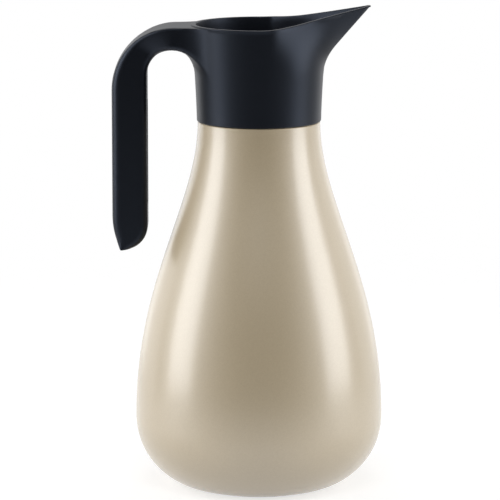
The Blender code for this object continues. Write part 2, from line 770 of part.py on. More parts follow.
# Turret on the flange: posts between the windows, a deck and the spring well
turret_profile = [
    (turret_radius, turret_top),
    (turret_radius, turret_bottom),
    (plug_inner, turret_bottom),
    (plug_inner, deck_bottom),
    (well_outer, deck_bottom),
    (well_outer, well_bottom),
    (stem_hole, well_bottom),
    (stem_hole, well_floor),
    (well_inner, well_floor),
    (well_inner, deck_top),
    (plug_inner, deck_top),
    (plug_inner, turret_top),
]
turret = lathe("stopper_turret", turret_profile, black, RING_STEPS)
window_start = (well_outer + plug_inner) / 2.0
for k in range(WINDOW_COUNT):
    slot = add_cutter("window_%d" % k, box_mesh(
        "window_%d" % k,
        (window_start, -WINDOW_WIDTH / 2.0, stopper_flange_bottom),
        (turret_radius + STOPPER_WALL, WINDOW_WIDTH / 2.0, window_top),
    ))
    slot.rotation_euler = (0.0, 0.0, math.tau * k / WINDOW_COUNT)
    cut(turret, slot)

# Lip seal in the plug's groove
seal_inner = groove_radius + FIT_GAP
seal_outer = bush_bore - FIT_GAP
seal_waist = seal_outer - SEAL_LIP
seal_high = seal_top - FIT_GAP
seal_low = seal_bottom + FIT_GAP
seal_heights = spread(seal_high, seal_low, 2 * SEAL_LIP_COUNT)
seal_profile = [(seal_outer if k % 2 else seal_waist, z) for k, z in enumerate(seal_heights)]
seal_profile += [(seal_inner, seal_low), (seal_inner, seal_high)]
lathe("stopper_seal", seal_profile, silicone, RING_STEPS)

# Cap over the turret, with the hole for the button
cap_inner = turret_radius + FIT_GAP
cap_outer = cap_inner + CAP_WALL
cap_hole = BUTTON_RADIUS + FIT_GAP
cap_profile = [
    (cap_outer - CAP_EDGE, cap_top),
    (cap_outer, cap_top - CAP_EDGE),
    (cap_outer, cap_top - CAP_SKIRT),
    (cap_inner, cap_top - CAP_SKIRT),
    (cap_inner, cap_inside),
    (cap_hole, cap_inside),
    (cap_hole, cap_top),
]
lathe("stopper_cap", cap_profile, black, RING_STEPS)

# Button with a boss for the stem
boss_inner = stem_hole
boss_outer = boss_inner + BOSS_WALL
button_profile = [
    (0.0, button_top),
    (BUTTON_RADIUS - BUTTON_EDGE, button_top),
    (BUTTON_RADIUS, button_top - BUTTON_EDGE),
    (BUTTON_RADIUS, button_skirt_bottom),
    (BUTTON_RADIUS - BUTTON_WALL, button_skirt_bottom),
    (BUTTON_RADIUS - BUTTON_WALL, button_inside),
    (boss_outer, button_inside),
    (boss_outer, button_skirt_bottom),
    (boss_inner, button_skirt_bottom),
    (boss_inner, button_inside),
    (0.0, button_inside),
]
lathe("push_button", button_profile, grey, RING_STEPS)

# Stem, its seal and the washer under the spring
stem_profile = [(0.0, stem_top), (STEM_RADIUS, stem_top), (STEM_RADIUS, stem_bottom), (0.0, stem_bottom)]
lathe("valve_stem", stem_profile, steel, SMALL_STEPS)
ring("stem_seal", stem_hole, stem_hole + STEM_SEAL_WALL, stem_seal_bottom,
     stem_seal_bottom + STEM_SEAL_HEIGHT, silicone, SMALL_STEPS)
ring("spring_washer", stem_hole, well_inner - FIT_GAP, spring_washer_bottom,
     spring_washer_bottom + SPRING_WASHER_HEIGHT, steel, SMALL_STEPS)

# Coil spring, drawn as a bent wire
spring_low = spring_bottom + SPRING_WIRE
spring_rise = spring_top - SPRING_WIRE - spring_low
spring_count = SPRING_TURNS * SPRING_STEPS
curve = bpy.data.curves.new("button_spring", "CURVE")
curve.dimensions = "3D"
curve.bevel_depth = SPRING_WIRE
curve.bevel_resolution = 1
curve.use_fill_caps = True
wire = curve.splines.new("POLY")
wire.points.add(spring_count)
for i, point in enumerate(wire.points):
    turn = math.tau * i / SPRING_STEPS
    height = spring_low + spring_rise * i / spring_count
    point.co = (SPRING_RADIUS * math.cos(turn), SPRING_RADIUS * math.sin(turn), height, 1.0)
curve_object = bpy.data.objects.new("button_spring_wire", curve)
jug.objects.link(curve_object)
graph = bpy.context.evaluated_depsgraph_get()
spring_mesh = bpy.data.meshes.new_from_object(curve_object.evaluated_get(graph))
bpy.data.objects.remove(curve_object, do_unlink=True)
bm = bmesh.new()
bm.from_mesh(spring_mesh)
bmesh.ops.remove_doubles(bm, verts=bm.verts, dist=MERGE_DISTANCE)
bmesh.ops.recalc_face_normals(bm, faces=bm.faces)
bm.to_mesh(spring_mesh)
bm.free()
spring_mesh.name = "button_spring"
spring_mesh.materials.clear()
smooth(spring_mesh)
add_object("button_spring", spring_mesh, steel)

# Valve under the plug
ring("valve_plate", stem_hole, VALVE_RADIUS, valve_bottom, valve_top, grey, RING_STEPS)
ring("valve_gasket", PORT_RADIUS - VALVE_GASKET_LAP, VALVE_RADIUS - FIT_GAP, valve_gasket_bottom,
     valve_gasket_top, silicone, RING_STEPS)
ring("valve_nut", stem_hole, NUT_RADIUS, nut_bottom, nut_top, steel, SMALL_STEPS)


# Pieces that move together hang on one empty on the axis of their joint.
def carry(name, members, parent):
    axis = bpy.data.objects.new(name, None)
    axis.parent = parent
    jug.objects.link(axis)
    for member in members:
        bpy.data.objects[member].parent = axis
    return axis


stopper_pieces = ["stopper_body", "stopper_turret", "stopper_seal", "stopper_cap"]
stopper_pieces += ["stem_seal", "spring_washer", "button_spring"]
button_pieces = ["push_button", "valve_stem", "valve_plate", "valve_gasket", "valve_nut"]
stopper_axis = carry("stopper_axis", stopper_pieces, None)
carry("button_axis", button_pieces, stopper_axis)
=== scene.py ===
# %% [markdown]
# # A vacuum jug with a pouring collar
# The imported model gives the frame: every piece here sits where its solid does, in metres, with +Z up, the
# spout along +X and the handle along -X. The CAD box is kept.

# %% Load the frame
import math

import bmesh
import bpy
from mathutils import Matrix, Vector


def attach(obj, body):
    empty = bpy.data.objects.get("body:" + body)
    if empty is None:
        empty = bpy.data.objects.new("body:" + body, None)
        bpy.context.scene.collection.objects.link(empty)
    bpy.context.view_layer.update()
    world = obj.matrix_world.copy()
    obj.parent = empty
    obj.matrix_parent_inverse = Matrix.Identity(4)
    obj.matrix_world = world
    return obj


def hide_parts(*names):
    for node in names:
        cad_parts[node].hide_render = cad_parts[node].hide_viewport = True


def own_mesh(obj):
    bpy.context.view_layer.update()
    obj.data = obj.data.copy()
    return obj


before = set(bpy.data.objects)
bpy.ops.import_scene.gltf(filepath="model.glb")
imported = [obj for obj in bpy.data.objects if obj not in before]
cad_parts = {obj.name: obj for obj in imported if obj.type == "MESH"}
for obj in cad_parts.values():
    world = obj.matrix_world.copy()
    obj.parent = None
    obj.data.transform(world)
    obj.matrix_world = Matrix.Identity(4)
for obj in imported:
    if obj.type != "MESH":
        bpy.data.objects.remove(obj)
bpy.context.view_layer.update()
scene = bpy.context.scene
scene.view_settings.view_transform = "Standard"
MM = 0.001
print("nodes:", len(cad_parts))

# %% [markdown]
# ## Camera
# The photograph was taken from a little above the rim with a long lens, so the walls run nearly parallel.
# A distant camera with a long focal length gives the same view, and it looks slightly to the left of the
# axis because the handle takes up more room than the spout.

# %% Camera at the photograph's angle
CAMERA_PLACE = Vector((-5.2, -2000.0, 490.0)) * MM
CAMERA_AIM = Vector((-5.2, 0.0, 138.0)) * MM
camera_data = bpy.data.cameras.new("photo_camera")
camera_data.sensor_width = 36.0
camera_data.lens = 250.8
camera = bpy.data.objects.new("photo_camera", camera_data)
camera.location = CAMERA_PLACE
camera.rotation_euler = (CAMERA_AIM - CAMERA_PLACE).to_track_quat("-Z", "Y").to_euler()
scene.collection.objects.link(camera)
scene.camera = camera
print("camera distance in m:", round((CAMERA_AIM - CAMERA_PLACE).length, 3))

# %% [markdown]
# ## Materials
# Colours are written as sRGB hex values, as a paint chart gives them, and one function turns them into
# the linear values that a shader needs. A second function adds one node with its settings and links.

# %% Colour and node helpers
def linear(code):
    values = [int(code[i:i + 2], 16) / 255.0 for i in (1, 3, 5)]
    return (*[v / 12.92 if v <= 0.04045 else ((v + 0.055) / 1.055) ** 2.4 for v in values], 1.0)


def add_node(tree, kind, settings=None, values=None, links=None):
    node = tree.nodes.new(kind)
    for key, value in (settings or {}).items():
        setattr(node, key, value)
    for key, value in (values or {}).items():
        node.inputs[key].default_value = value
    for key, socket in (links or {}).items():
        tree.links.new(socket, node.inputs[key])
    return node


def new_material(name):
    material = bpy.data.materials.new(name)
    material.use_nodes = True
    tree = material.node_tree
    tree.nodes.clear()
    place = add_node(tree, "ShaderNodeTexCoord").outputs["Object"]
    return material, tree, place


def close_material(tree, shader):
    add_node(tree, "ShaderNodeOutputMaterial", links={"Surface": shader.outputs["BSDF"]})


def waves_per_metre(size_mm):
    return 1.0 / (size_mm * MM)


print("white is", linear("#FFFFFF")[:3])

# %% [markdown]
# ### Champagne lacquer on steel
# The body is sprayed with a pearl lacquer: thin mica flakes under a clear coat. Such flakes carry a skin of
# titania with an IOR of about 2.5, and lying at slightly different angles they give a broad, whitish sheen.
# So the base takes that IOR and a high roughness, and the coat adds a tighter gloss on top. Real flakes are
# about 0.05 mm across and far too fine to show, so they are drawn at 0.6 mm as a faint change of tone. A
# slight orange peel of 2.5 mm keeps the gloss from looking like glass.

# %% Champagne lacquer
lacquer, tree, place = new_material("champagne_pearl_lacquer")
flake_scale = waves_per_metre(0.6)
flakes = add_node(tree, "ShaderNodeTexVoronoi", values={"Scale": flake_scale}, links={"Vector": place})
tone = add_node(tree, "ShaderNodeValToRGB", links={"Fac": flakes.outputs["Color"]})
tone.color_ramp.elements[0].color = linear("#BFAB86")
tone.color_ramp.elements[1].color = linear("#C6B38F")
peel_values = {"Scale": waves_per_metre(2.5), "Detail": 2.0}
peel = add_node(tree, "ShaderNodeTexNoise", values=peel_values, links={"Vector": place})
skin_values = {"Strength": 0.012, "Distance": 0.1 * MM}
skin = add_node(tree, "ShaderNodeBump", values=skin_values, links={"Height": peel.outputs["Fac"]})
shader = add_node(
    tree,
    "ShaderNodeBsdfPrincipled",
    values={"IOR": 2.5, "Roughness": 0.5, "Coat Weight": 1.0, "Coat IOR": 1.6, "Coat Roughness": 0.22},
    links={"Base Color": tone.outputs["Color"], "Normal": skin.outputs["Normal"]},
)
close_material(tree, shader)
print("made", lacquer.name)

# %% [markdown]
# ### Moulded plastics and silicone
# The collar and stopper are moulded polypropylene from a finely eroded tool: almost black with a satin sheen
# and a grain of about 0.2 mm. It is drawn at 0.8 mm so that it survives the render. The edges are painted a
# little paler as a painted highlight, so the colour also follows how sharply the surface bends. The button
# and bush are a slightly lighter grade, and the seals are soft silicone with a powdery surface.

# %% Plastics and silicone
def moulded(name, dark, light, edge_highlight, sheen, roughness, grain_mm, depth):
    material, tree, place = new_material(name)
    grain_values = {"Scale": waves_per_metre(grain_mm), "Detail": 3.0}
    grain = add_node(tree, "ShaderNodeTexNoise", values=grain_values, links={"Vector": place}).outputs["Fac"]
    bend = add_node(tree, "ShaderNodeNewGeometry").outputs["Pointiness"]
    # Sharply bent edges get a paler colour here: a painted highlight along the edges, not wear.
    edge_highlight_values = {"From Min": 0.53, "From Max": 0.62, "To Max": 0.5}
    painted_edge_highlight = add_node(tree, "ShaderNodeMapRange", values=edge_highlight_values, links={"Value": bend}).outputs["Result"]
    adding = {"operation": "ADD", "use_clamp": True}
    both = add_node(tree, "ShaderNodeMath", adding, links={0: grain, 1: painted_edge_highlight})
    tone = add_node(tree, "ShaderNodeValToRGB", links={"Fac": both.outputs["Value"]})
    tone.color_ramp.elements[0].color = linear(dark)
    # The top colour of the ramp is the painted edge highlight.
    tone.color_ramp.elements[1].color = linear(edge_highlight)
    tone.color_ramp.elements.new(0.65).color = linear(light)
    gloss_values = {"To Min": roughness - 0.04, "To Max": roughness + 0.04}
    gloss = add_node(tree, "ShaderNodeMapRange", values=gloss_values, links={"Value": grain})
    skin_values = {"Strength": depth, "Distance": 0.1 * MM}
    skin = add_node(tree, "ShaderNodeBump", values=skin_values, links={"Height": grain})
    shader = add_node(
        tree,
        "ShaderNodeBsdfPrincipled",
        values={"IOR": 1.49, "Specular Tint": linear(sheen)},
        links={
            "Base Color": tone.outputs["Color"],
            "Roughness": gloss.outputs["Result"],
            "Normal": skin.outputs["Normal"],
        },
    )
    close_material(tree, shader)
    print("made", name)
    return material


black_plastic = moulded(
    "black_satin_polypropylene",
    dark="#08090B",
    light="#0C0D10",
    edge_highlight="#16191E",
    sheen="#C8D8F6",
    roughness=0.42,
    grain_mm=0.8,
    depth=0.03,
)
grey_plastic = moulded(
    "charcoal_polypropylene",
    dark="#17191D",
    light="#1D2024",
    edge_highlight="#2A2E34",
    sheen="#E8EDF6",
    roughness=0.42,
    grain_mm=0.8,
    depth=0.05,
)
silicone = moulded(
    "grey_silicone",
    dark="#4E4E4E",
    light="#595959",
    edge_highlight="#646464",
    sheen="#FFFFFF",
    roughness=0.6,
    grain_mm=1.2,
    depth=0.05,
)

# %% [markdown]
# ### Stainless steel
# The liner, stem and washers are stainless steel that was spun or turned, which leaves fine rings around
# the axis. A noise squeezed along Z draws such rings, about 0.4 mm apart. The getter is a pressed powder
# capsule with a dull, coarse face.

# %% Steel and getter alloy
def metal(name, dark, light, roughness, ring_mm, spread_mm, depth):
    material, tree, place = new_material(name)
    across = waves_per_metre(spread_mm)
    squeeze_values = {"Scale": (across, across, waves_per_metre(ring_mm))}
    squeezed = add_node(tree, "ShaderNodeMapping", values=squeeze_values, links={"Vector": place})
    ring_values = {"Scale": 1.0, "Detail": 2.0}
    ring_links = {"Vector": squeezed.outputs["Vector"]}
    rings = add_node(tree, "ShaderNodeTexNoise", values=ring_values, links=ring_links)
    tone = add_node(tree, "ShaderNodeValToRGB", links={"Fac": rings.outputs["Fac"]})
    tone.color_ramp.elements[0].color = linear(dark)
    tone.color_ramp.elements[1].color = linear(light)
    skin_values = {"Strength": depth, "Distance": 0.05 * MM}
    skin = add_node(tree, "ShaderNodeBump", values=skin_values, links={"Height": rings.outputs["Fac"]})
    shader = add_node(
        tree,
        "ShaderNodeBsdfPrincipled",
        values={"Metallic": 1.0, "Roughness": roughness},
        links={"Base Color": tone.outputs["Color"], "Normal": skin.outputs["Normal"]},
    )
    close_material(tree, shader)
    print("made", name)
    return material


steel = metal(
    "spun_stainless_steel",
    dark="#BDBDBB",
    light="#CECECC",
    roughness=0.28,
    ring_mm=0.4,
    spread_mm=30.0,
    depth=0.15,
)
getter_alloy = metal(
    "pressed_getter_powder",
    dark="#8E8E8C",
    light="#A2A29F",
    roughness=0.55,
    ring_mm=0.6,
    spread_mm=0.6,
    depth=0.3,
)

# %% [markdown]
# ## Turned pieces
# Most of the jug is round. Such a piece is drawn as half of its cross-section and spun about the axis.
# Each corner of the section carries its own edge radius, because moulded and pressed edges are never sharp
# and a rounded edge is what catches the light.

# %% Finish a piece
SHARP_EDGE = math.radians(40.0)


def finish_piece(name, bm, material, body, nodes):
    mesh = bpy.data.meshes.new(name)
    bm.to_mesh(mesh)
    bm.free()
    mesh.materials.append(material)
    mesh.shade_smooth()
    mesh.set_sharp_from_angle(angle=SHARP_EDGE)
    piece = bpy.data.objects.new(name, mesh)
    scene.collection.objects.link(piece)
    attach(piece, body)
    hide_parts(*nodes)
    print(name, "faces:", len(mesh.polygons))
    return piece


print("edges sharper than", round(math.degrees(SHARP_EDGE)), "degrees stay crisp")

# %% [markdown]
# A section is a list of corners, each with an optional edge radius. It is then spun once around, and the
# seam is merged so that the piece is closed.

# %% Round the section and turn it
def rounded_section(corners, steps=4):
    # A corner is (radius, height) or (radius, height, edge radius), all in millimetres.
    points = []
    count = len(corners)
    for i, corner in enumerate(corners):
        here = Vector(corner[:2])
        edge = corner[2] if len(corner) > 2 else 0.0
        if edge == 0.0:
            points.append(here)
            continue
        back = Vector(corners[i - 1][:2]) - here
        ahead = Vector(corners[(i + 1) % count][:2]) - here
        reach = edge / math.tan(back.angle(ahead) / 2.0)
        start = here + back.normalized() * reach
        end = here + ahead.normalized() * reach
        for k in range(steps + 1):
            t = k / steps
            points.append((1 - t) ** 2 * start + 2 * t * (1 - t) * here + t * t * end)
    return points


def turn_section(points, steps=128):
    bm = bmesh.new()
    verts = [bm.verts.new((p[0] * MM, 0.0, p[1] * MM)) for p in points]
    edges = [bm.edges.new(pair) for pair in zip(verts, verts[1:])]
    if points[0][0] > 0.0:
        edges.append(bm.edges.new((verts[-1], verts[0])))
    bmesh.ops.spin(
        bm,
        geom=verts + edges,
        axis=(0, 0, 1),
        cent=(0, 0, 0),
        angle=math.tau,
        steps=steps,
        use_merge=True,
    )
    bmesh.ops.remove_doubles(bm, verts=bm.verts, dist=0.001 * MM)
    bmesh.ops.recalc_face_normals(bm, faces=bm.faces)
    return bm


def curve_points(start, near, far, end, steps):
    pulls = [Vector(p) for p in (start, near, far, end)]
    points = []
    for i in range(steps + 1):
        t = i / steps
        u = 1.0 - t
        shares = (u**3, 3 * u * u * t, 3 * u * t * t, t**3)
        points.append(sum((share * pull for share, pull in zip(shares, pulls)), 0.0 * pulls[0]))
    return points


sample = rounded_section([(10.0, 0.0, 1.0), (10.0, 5.0, 1.0), (8.0, 5.0), (8.0, 0.0)])
print("a ring with two rounded edges has", len(sample), "section points")

# %% [markdown]
# ## Pear-shaped shell and liner
# The outer shell is a steel tube blown out into a pear. Two smooth curves draw it: one from the shoulder
# down to the widest line, one from there to the foot. A pull says how far a curve follows its end's
# direction before it bends away. The liner inside follows the same idea with a gap of about 6 mm, which is
# empty of air on the real jug.

# %% Outer shell
BELLY_RADIUS = 72.0
BELLY_HEIGHT = 41.0
SHOULDER = (35.5, 214.0)
FOOT = (42.0, 0.8)
FOOT_TURN_UP = 5.8
FOOT_PULL = 0.223
SHOULDER_EDGE = 0.4
NECK_PULL = 0.272
BELLY_PULL_UP = 0.462
BELLY_PULL_DOWN = 0.689
STEEL_WALL = 0.8
NECK_OUTER = 32.0
NECK_TOP = 225.0


def pear_points(neck, belly, foot, foot_pull, steps):
    rise = neck[1] - BELLY_HEIGHT
    drop = BELLY_HEIGHT - foot[1]
    upper = curve_points(
        neck,
        (neck[0], neck[1] - NECK_PULL * rise),
        (belly, BELLY_HEIGHT + BELLY_PULL_UP * rise),
        (belly, BELLY_HEIGHT),
        steps,
    )
    lower = curve_points(
        (belly, BELLY_HEIGHT),
        (belly, BELLY_HEIGHT - BELLY_PULL_DOWN * drop),
        (foot[0] + foot_pull * (belly - foot[0]), foot[1]),
        foot,
        steps,
    )
    return upper + lower[1:]


shell_line = [(NECK_OUTER, NECK_TOP), (NECK_OUTER, SHOULDER[1]), (SHOULDER[0] - SHOULDER_EDGE, SHOULDER[1])]
shell_line += pear_points((SHOULDER[0], SHOULDER[1] - SHOULDER_EDGE), BELLY_RADIUS, FOOT, FOOT_PULL, steps=40)
shell_line += [(FOOT[0], FOOT_TURN_UP), (FOOT[0] + STEEL_WALL, FOOT_TURN_UP)]
inside = pear_points(
    (SHOULDER[0] - STEEL_WALL, SHOULDER[1] - STEEL_WALL),
    BELLY_RADIUS - STEEL_WALL,
    (FOOT[0] + STEEL_WALL, FOOT[1] + STEEL_WALL),
    FOOT_PULL,
    steps=20,
)
shell_line += inside[::-1]
shell_line += [(NECK_OUTER - STEEL_WALL, SHOULDER[1] - STEEL_WALL), (NECK_OUTER - STEEL_WALL, NECK_TOP)]
shell_bm = turn_section(shell_line, steps=160)
finish_piece("pear_shell", shell_bm, lacquer, "jug", ["outer_shell"])

# %% [markdown]
# The liner is the flask that holds the drink. Its neck is folded over the shell's, where the two are welded.

# %% Inner liner
NECK_BORE = 29.7
LINER_BELLY = 65.0
LINER_FLOOR = 9.7
LINER_NECK = 202.1
LINER_PULL = 0.7
LIP_TOP = 226.1
LIP_BOTTOM = 225.3
inside_neck = (NECK_BORE, LINER_NECK)
inside_foot = (0.0, LINER_FLOOR + STEEL_WALL)
outside_neck = (NECK_BORE + STEEL_WALL, LINER_NECK)
outside_foot = (0.0, LINER_FLOOR)
liner_line = pear_points(inside_neck, LINER_BELLY - STEEL_WALL, inside_foot, LINER_PULL, steps=30)[::-1]
liner_line += [(NECK_BORE, LIP_TOP), (NECK_OUTER, LIP_TOP)]
liner_line += [(NECK_OUTER, LIP_BOTTOM), (outside_neck[0], LIP_BOTTOM)]
liner_line += pear_points(outside_neck, LINER_BELLY, outside_foot, LINER_PULL, steps=30)
finish_piece("steel_liner", turn_section(liner_line), steel, "jug", ["inner_liner"])

# %% [markdown]
# ## Base pad
# The jug stands on a flat silicone disc. Its edge is rounded, so a thin dark line shows under the shell.

# %% Base pad
PAD_RADIUS = 40.7
PAD_HEIGHT = 2.6
PAD_EDGE = 0.6
pad_corners = [(0.0, PAD_HEIGHT), (PAD_RADIUS, PAD_HEIGHT, PAD_EDGE), (PAD_RADIUS, 0.0, PAD_EDGE), (0.0, 0.0)]
pad_line = rounded_section(pad_corners)
finish_piece("round_base_pad", turn_section(pad_line), silicone, "jug", ["base_pad"])

# %% [markdown]
# ## Pouring collar
# The collar is one moulding: a slightly flared ring, a beak that grows out of its front, and a hooked
# handle at its back. Its plan changes from a circle at the foot to a drop shape at the rim, so no single
# turned section gives it. Rings of vertices are pulled upwards one after another, each with the outline
# that belongs to its height, over the lip and down the inside. Columns are closer together at the beak,
# where the outline bends most.

# %% Outline of the collar at any height
COLLAR_FOOT = 36.0
COLLAR_BOTTOM = 214.3
RIM_HEIGHT = 270.5
COLLAR_HEIGHT = RIM_HEIGHT - COLLAR_BOTTOM
FLARE = 3.2
FLARE_BEND = 1.35


def cone_radius(z):
    return COLLAR_FOOT + FLARE * max(0.0, (z - COLLAR_BOTTOM) / COLLAR_HEIGHT) ** FLARE_BEND


def blended_ramp(x, slope, blend):
    if x <= 0.0:
        return 0.0
    return slope * x * x / (2.0 * blend) if x < blend else slope * (x - blend / 2.0)


print("collar radius at foot and rim in mm:", cone_radius(COLLAR_BOTTOM), round(cone_radius(RIM_HEIGHT), 1))

# %% [markdown]
# Seen from above, the rim is a circle at the back that runs into a narrow, rounded beak. Half of that plan is
# drawn as a list of points, and any column finds its reach on it. Lower down, the beak's bulge shrinks to
# nothing.

# %% Plan of the rim and its beak
SPOUT_REACH = 64.5
SPOUT_SLOPE = 0.8
SPOUT_BLEND = 16.0
RIM_SLOPE = 0.21
RIM_BLEND = 28.0
FLANK_ANGLE = math.radians(80.0)
FLANK_PULL = 6.0
FLANK_STEPS = 80
TIP_LENGTH = 2.5
TIP_HALF_WIDTH = 4.5
TIP_STEPS = 16
TIP_HEIGHT = RIM_HEIGHT + blended_ramp(SPOUT_REACH, RIM_SLOPE, RIM_BLEND)
SPOUT_ROOT = TIP_HEIGHT - (SPOUT_REACH - cone_radius(TIP_HEIGHT)) / SPOUT_SLOPE - SPOUT_BLEND / 2.0
RIM_RADIUS = cone_radius(RIM_HEIGHT)


def spout_bulge(z):
    return blended_ramp(z - SPOUT_ROOT, SPOUT_SLOPE, SPOUT_BLEND)


flank_start = Vector((math.cos(FLANK_ANGLE), math.sin(FLANK_ANGLE))) * RIM_RADIUS
flank_way = Vector((math.sin(FLANK_ANGLE), -math.cos(FLANK_ANGLE)))
tip_start = Vector((SPOUT_REACH - TIP_LENGTH, TIP_HALF_WIDTH))
flank_aim = (0.34 * SPOUT_REACH, 0.56 * RIM_RADIUS)
flank = curve_points(flank_start, flank_start + FLANK_PULL * flank_way, flank_aim, tip_start, FLANK_STEPS)
tip_turns = [k * math.pi / (2 * TIP_STEPS) for k in range(TIP_STEPS)]
plan = [Vector((tip_start.x + TIP_LENGTH * math.cos(a), TIP_HALF_WIDTH * math.sin(a))) for a in tip_turns]
plan += flank[::-1]


def rim_reach(angle):
    turn = abs(angle)
    for a, b in zip(plan, plan[1:]):
        low = math.atan2(a.y, a.x)
        high = math.atan2(b.y, b.x)
        if low <= turn <= high:
            return a.length + (b.length - a.length) * (turn - low) / (high - low)
    return RIM_RADIUS


print("spout tip height in mm:", round(TIP_HEIGHT, 1))

# %% [markdown]
# Each ring of the wall has the same columns. Crowding draws them together at the beak: at 0 they are evenly
# spread, and close to 1 nearly all of them stand there. A ring can also be set inwards by a wall thickness,
# which gives the inside the same form as the outside.

# %% Rings at any height
COLUMNS = 160
CROWDING = 0.6
turns = [math.tau * j / COLUMNS - math.pi for j in range(COLUMNS)]
angles = [u - CROWDING * math.sin(u) for u in turns]
reaches = [rim_reach(a) for a in angles]
rims = [RIM_HEIGHT + blended_ramp(r * math.cos(a), RIM_SLOPE, RIM_BLEND) for a, r in zip(angles, reaches)]


def wall_ring(share):
    ring = []
    for angle, reach, rim in zip(angles, reaches, rims):
        z = COLLAR_BOTTOM + share * (rim - COLLAR_BOTTOM)
        radius = cone_radius(z)
        if spout_bulge(z) > 0.0:
            radius += (reach - cone_radius(rim)) * spout_bulge(z) / spout_bulge(rim)
        ring.append(Vector((radius * math.cos(angle), radius * math.sin(angle), z)))
    return ring


def inset_ring(ring, inset, drop=0.0):
    moved = []
    for j, point in enumerate(ring):
        along = ring[(j + 1) % len(ring)] - ring[j - 1]
        inward = Vector((-along.y, along.x, 0.0)).normalized()
        moved.append(point + inset * inward - Vector((0.0, 0.0, drop)))
    return moved


def round_ring(radius, z):
    return [Vector((radius * math.cos(a), radius * math.sin(a), z)) for a in angles]


print("columns:", len(angles))

# %% [markdown]
# The rings run up the outside, over a rounded lip, down the inside, across the floor that sits on the
# neck, and back down the skirt. The handle leaves the wall just below the lip, so the outside has evenly
# spaced rings over the height of its root.

# %% Rings of the collar
COLLAR_WALL = 2.6
HANDLE_TOP = RIM_HEIGHT - 0.7
ROOT_DEPTH = 29.0
LOWER_ROWS = 6
ROOT_ROWS = 14
INSIDE_ROWS = 14
LIP_STEPS = 4
LIP_EDGE = 0.6
FOOT_EDGE = 0.4
FLOOR_TOP = 230.4
FLOOR_BOTTOM = 227.9
SKIRT_INNER = 33.4


def share_of(z):
    return (z - COLLAR_BOTTOM) / COLLAR_HEIGHT


root_share = share_of(HANDLE_TOP - ROOT_DEPTH)
top_share = share_of(HANDLE_TOP)
rim_ring = wall_ring(1.0)
quarter = [k * math.pi / (2 * LIP_STEPS) for k in range(LIP_STEPS + 1)]
rings = [round_ring(COLLAR_FOOT - FOOT_EDGE, COLLAR_BOTTOM), wall_ring(FOOT_EDGE / COLLAR_HEIGHT)]
rings += [wall_ring(root_share * k / LOWER_ROWS) for k in range(1, LOWER_ROWS)]
first_root_row = len(rings)
rings += [wall_ring(root_share + (top_share - root_share) * k / ROOT_ROWS) for k in range(ROOT_ROWS + 1)]
rings += [inset_ring(rim_ring, LIP_EDGE * (1 - math.cos(a)), LIP_EDGE * (1 - math.sin(a))) for a in quarter]
for a in quarter:
    inset = COLLAR_WALL - LIP_EDGE * (1 - math.sin(a))
    rings.append(inset_ring(rim_ring, inset, LIP_EDGE * (1 - math.cos(a))))
floor_share = share_of(FLOOR_TOP)
for k in range(1, INSIDE_ROWS):
    share = top_share + (floor_share - top_share) * k / INSIDE_ROWS
    rings.append(inset_ring(wall_ring(share), COLLAR_WALL))
rings += [round_ring(cone_radius(FLOOR_TOP) - COLLAR_WALL, FLOOR_TOP)]
rings += [round_ring(NECK_BORE, FLOOR_TOP), round_ring(NECK_BORE, FLOOR_BOTTOM)]
rings += [round_ring(SKIRT_INNER, FLOOR_BOTTOM), round_ring(SKIRT_INNER, COLLAR_BOTTOM)]
print("rings drawn:", len(rings))

# %% [markdown]
# One circle of vertices is placed on the first ring and extruded to each next one. The last loop is bridged
# to the first, so the wall is closed all round.

# %% Pull the wall from ring to ring
def loop_edges(bm, loop):
    return [bm.edges.get(pair) for pair in zip(loop, loop[1:] + loop[:1])]


def extrude_loop(bm, loop, places):
    made = bmesh.ops.extrude_edge_only(bm, edges=loop_edges(bm, loop))
    fresh = {item for item in made["geom"] if isinstance(item, bmesh.types.BMVert)}
    new_loop = []
    for vert, place in zip(loop, places):
        partner = next(e.other_vert(vert) for e in vert.link_edges if e.other_vert(vert) in fresh)
        partner.co = place * MM
        new_loop.append(partner)
    return new_loop


bm = bmesh.new()
loops = [bmesh.ops.create_circle(bm, segments=COLUMNS, radius=COLLAR_FOOT * MM)["verts"]]
for vert, point in zip(loops[0], rings[0]):
    vert.co = point * MM
for ring in rings[1:]:
    loops.append(extrude_loop(bm, loops[-1], ring))
bmesh.ops.bridge_loops(bm, edges=loop_edges(bm, loops[-1]) + loop_edges(bm, loops[0]))
print("collar faces:", len(bm.faces))

# %% [markdown]
# ## Hooked handle
# A window is opened in the back of the collar and its edge is pulled out along the handle. The first
# steps leave the wall along its surface and arrive along the arm, which makes the wide flare that the
# moulding has at its root. The section starts flat with a crisp edge at the top and becomes rounder
# through the bend, where the hand holds it. The lower end is cut off in a curve from the inside.

# %% Window for the handle
ROOT_COLUMNS = 24
HALF_COLUMNS = ROOT_COLUMNS // 2
columns = [k % COLUMNS for k in range(HALF_COLUMNS, -HALF_COLUMNS - 1, -1)]
last_root_row = first_root_row + ROOT_ROWS
window = []
for row in range(first_root_row, last_root_row):
    for left, right in zip(columns, columns[1:]):
        corners = {loops[row][left], loops[row][right], loops[row + 1][left], loops[row + 1][right]}
        window += [f for f in loops[row][left].link_faces if set(f.verts) == corners]
bmesh.ops.delete(bm, geom=window, context="FACES")
root_loop = [loops[last_root_row][k] for k in columns]
root_loop += [loops[row][columns[-1]] for row in range(last_root_row - 1, first_root_row, -1)]
root_loop += [loops[first_root_row][k] for k in columns[::-1]]
root_loop += [loops[row][columns[0]] for row in range(first_root_row + 1, last_root_row)]
print("window edge vertices:", len(root_loop))

# %% [markdown]
# Every section is a rounded rectangle between the handle's outer and inner line. It has as many points as
# the window's edge, so each vertex of the window knows where it goes. The outer and inner line each have
# their own bend, which is why the grip is thicker than the arm.

# %% Sections of the handle
SIDEWAYS = Vector((0.0, 1.0, 0.0))
HALF_CORNER = 8
CORNER_STEPS = 2 * HALF_CORNER
CORNER_TURNS = [k * math.pi / (2 * CORNER_STEPS) for k in range(CORNER_STEPS + 1)]


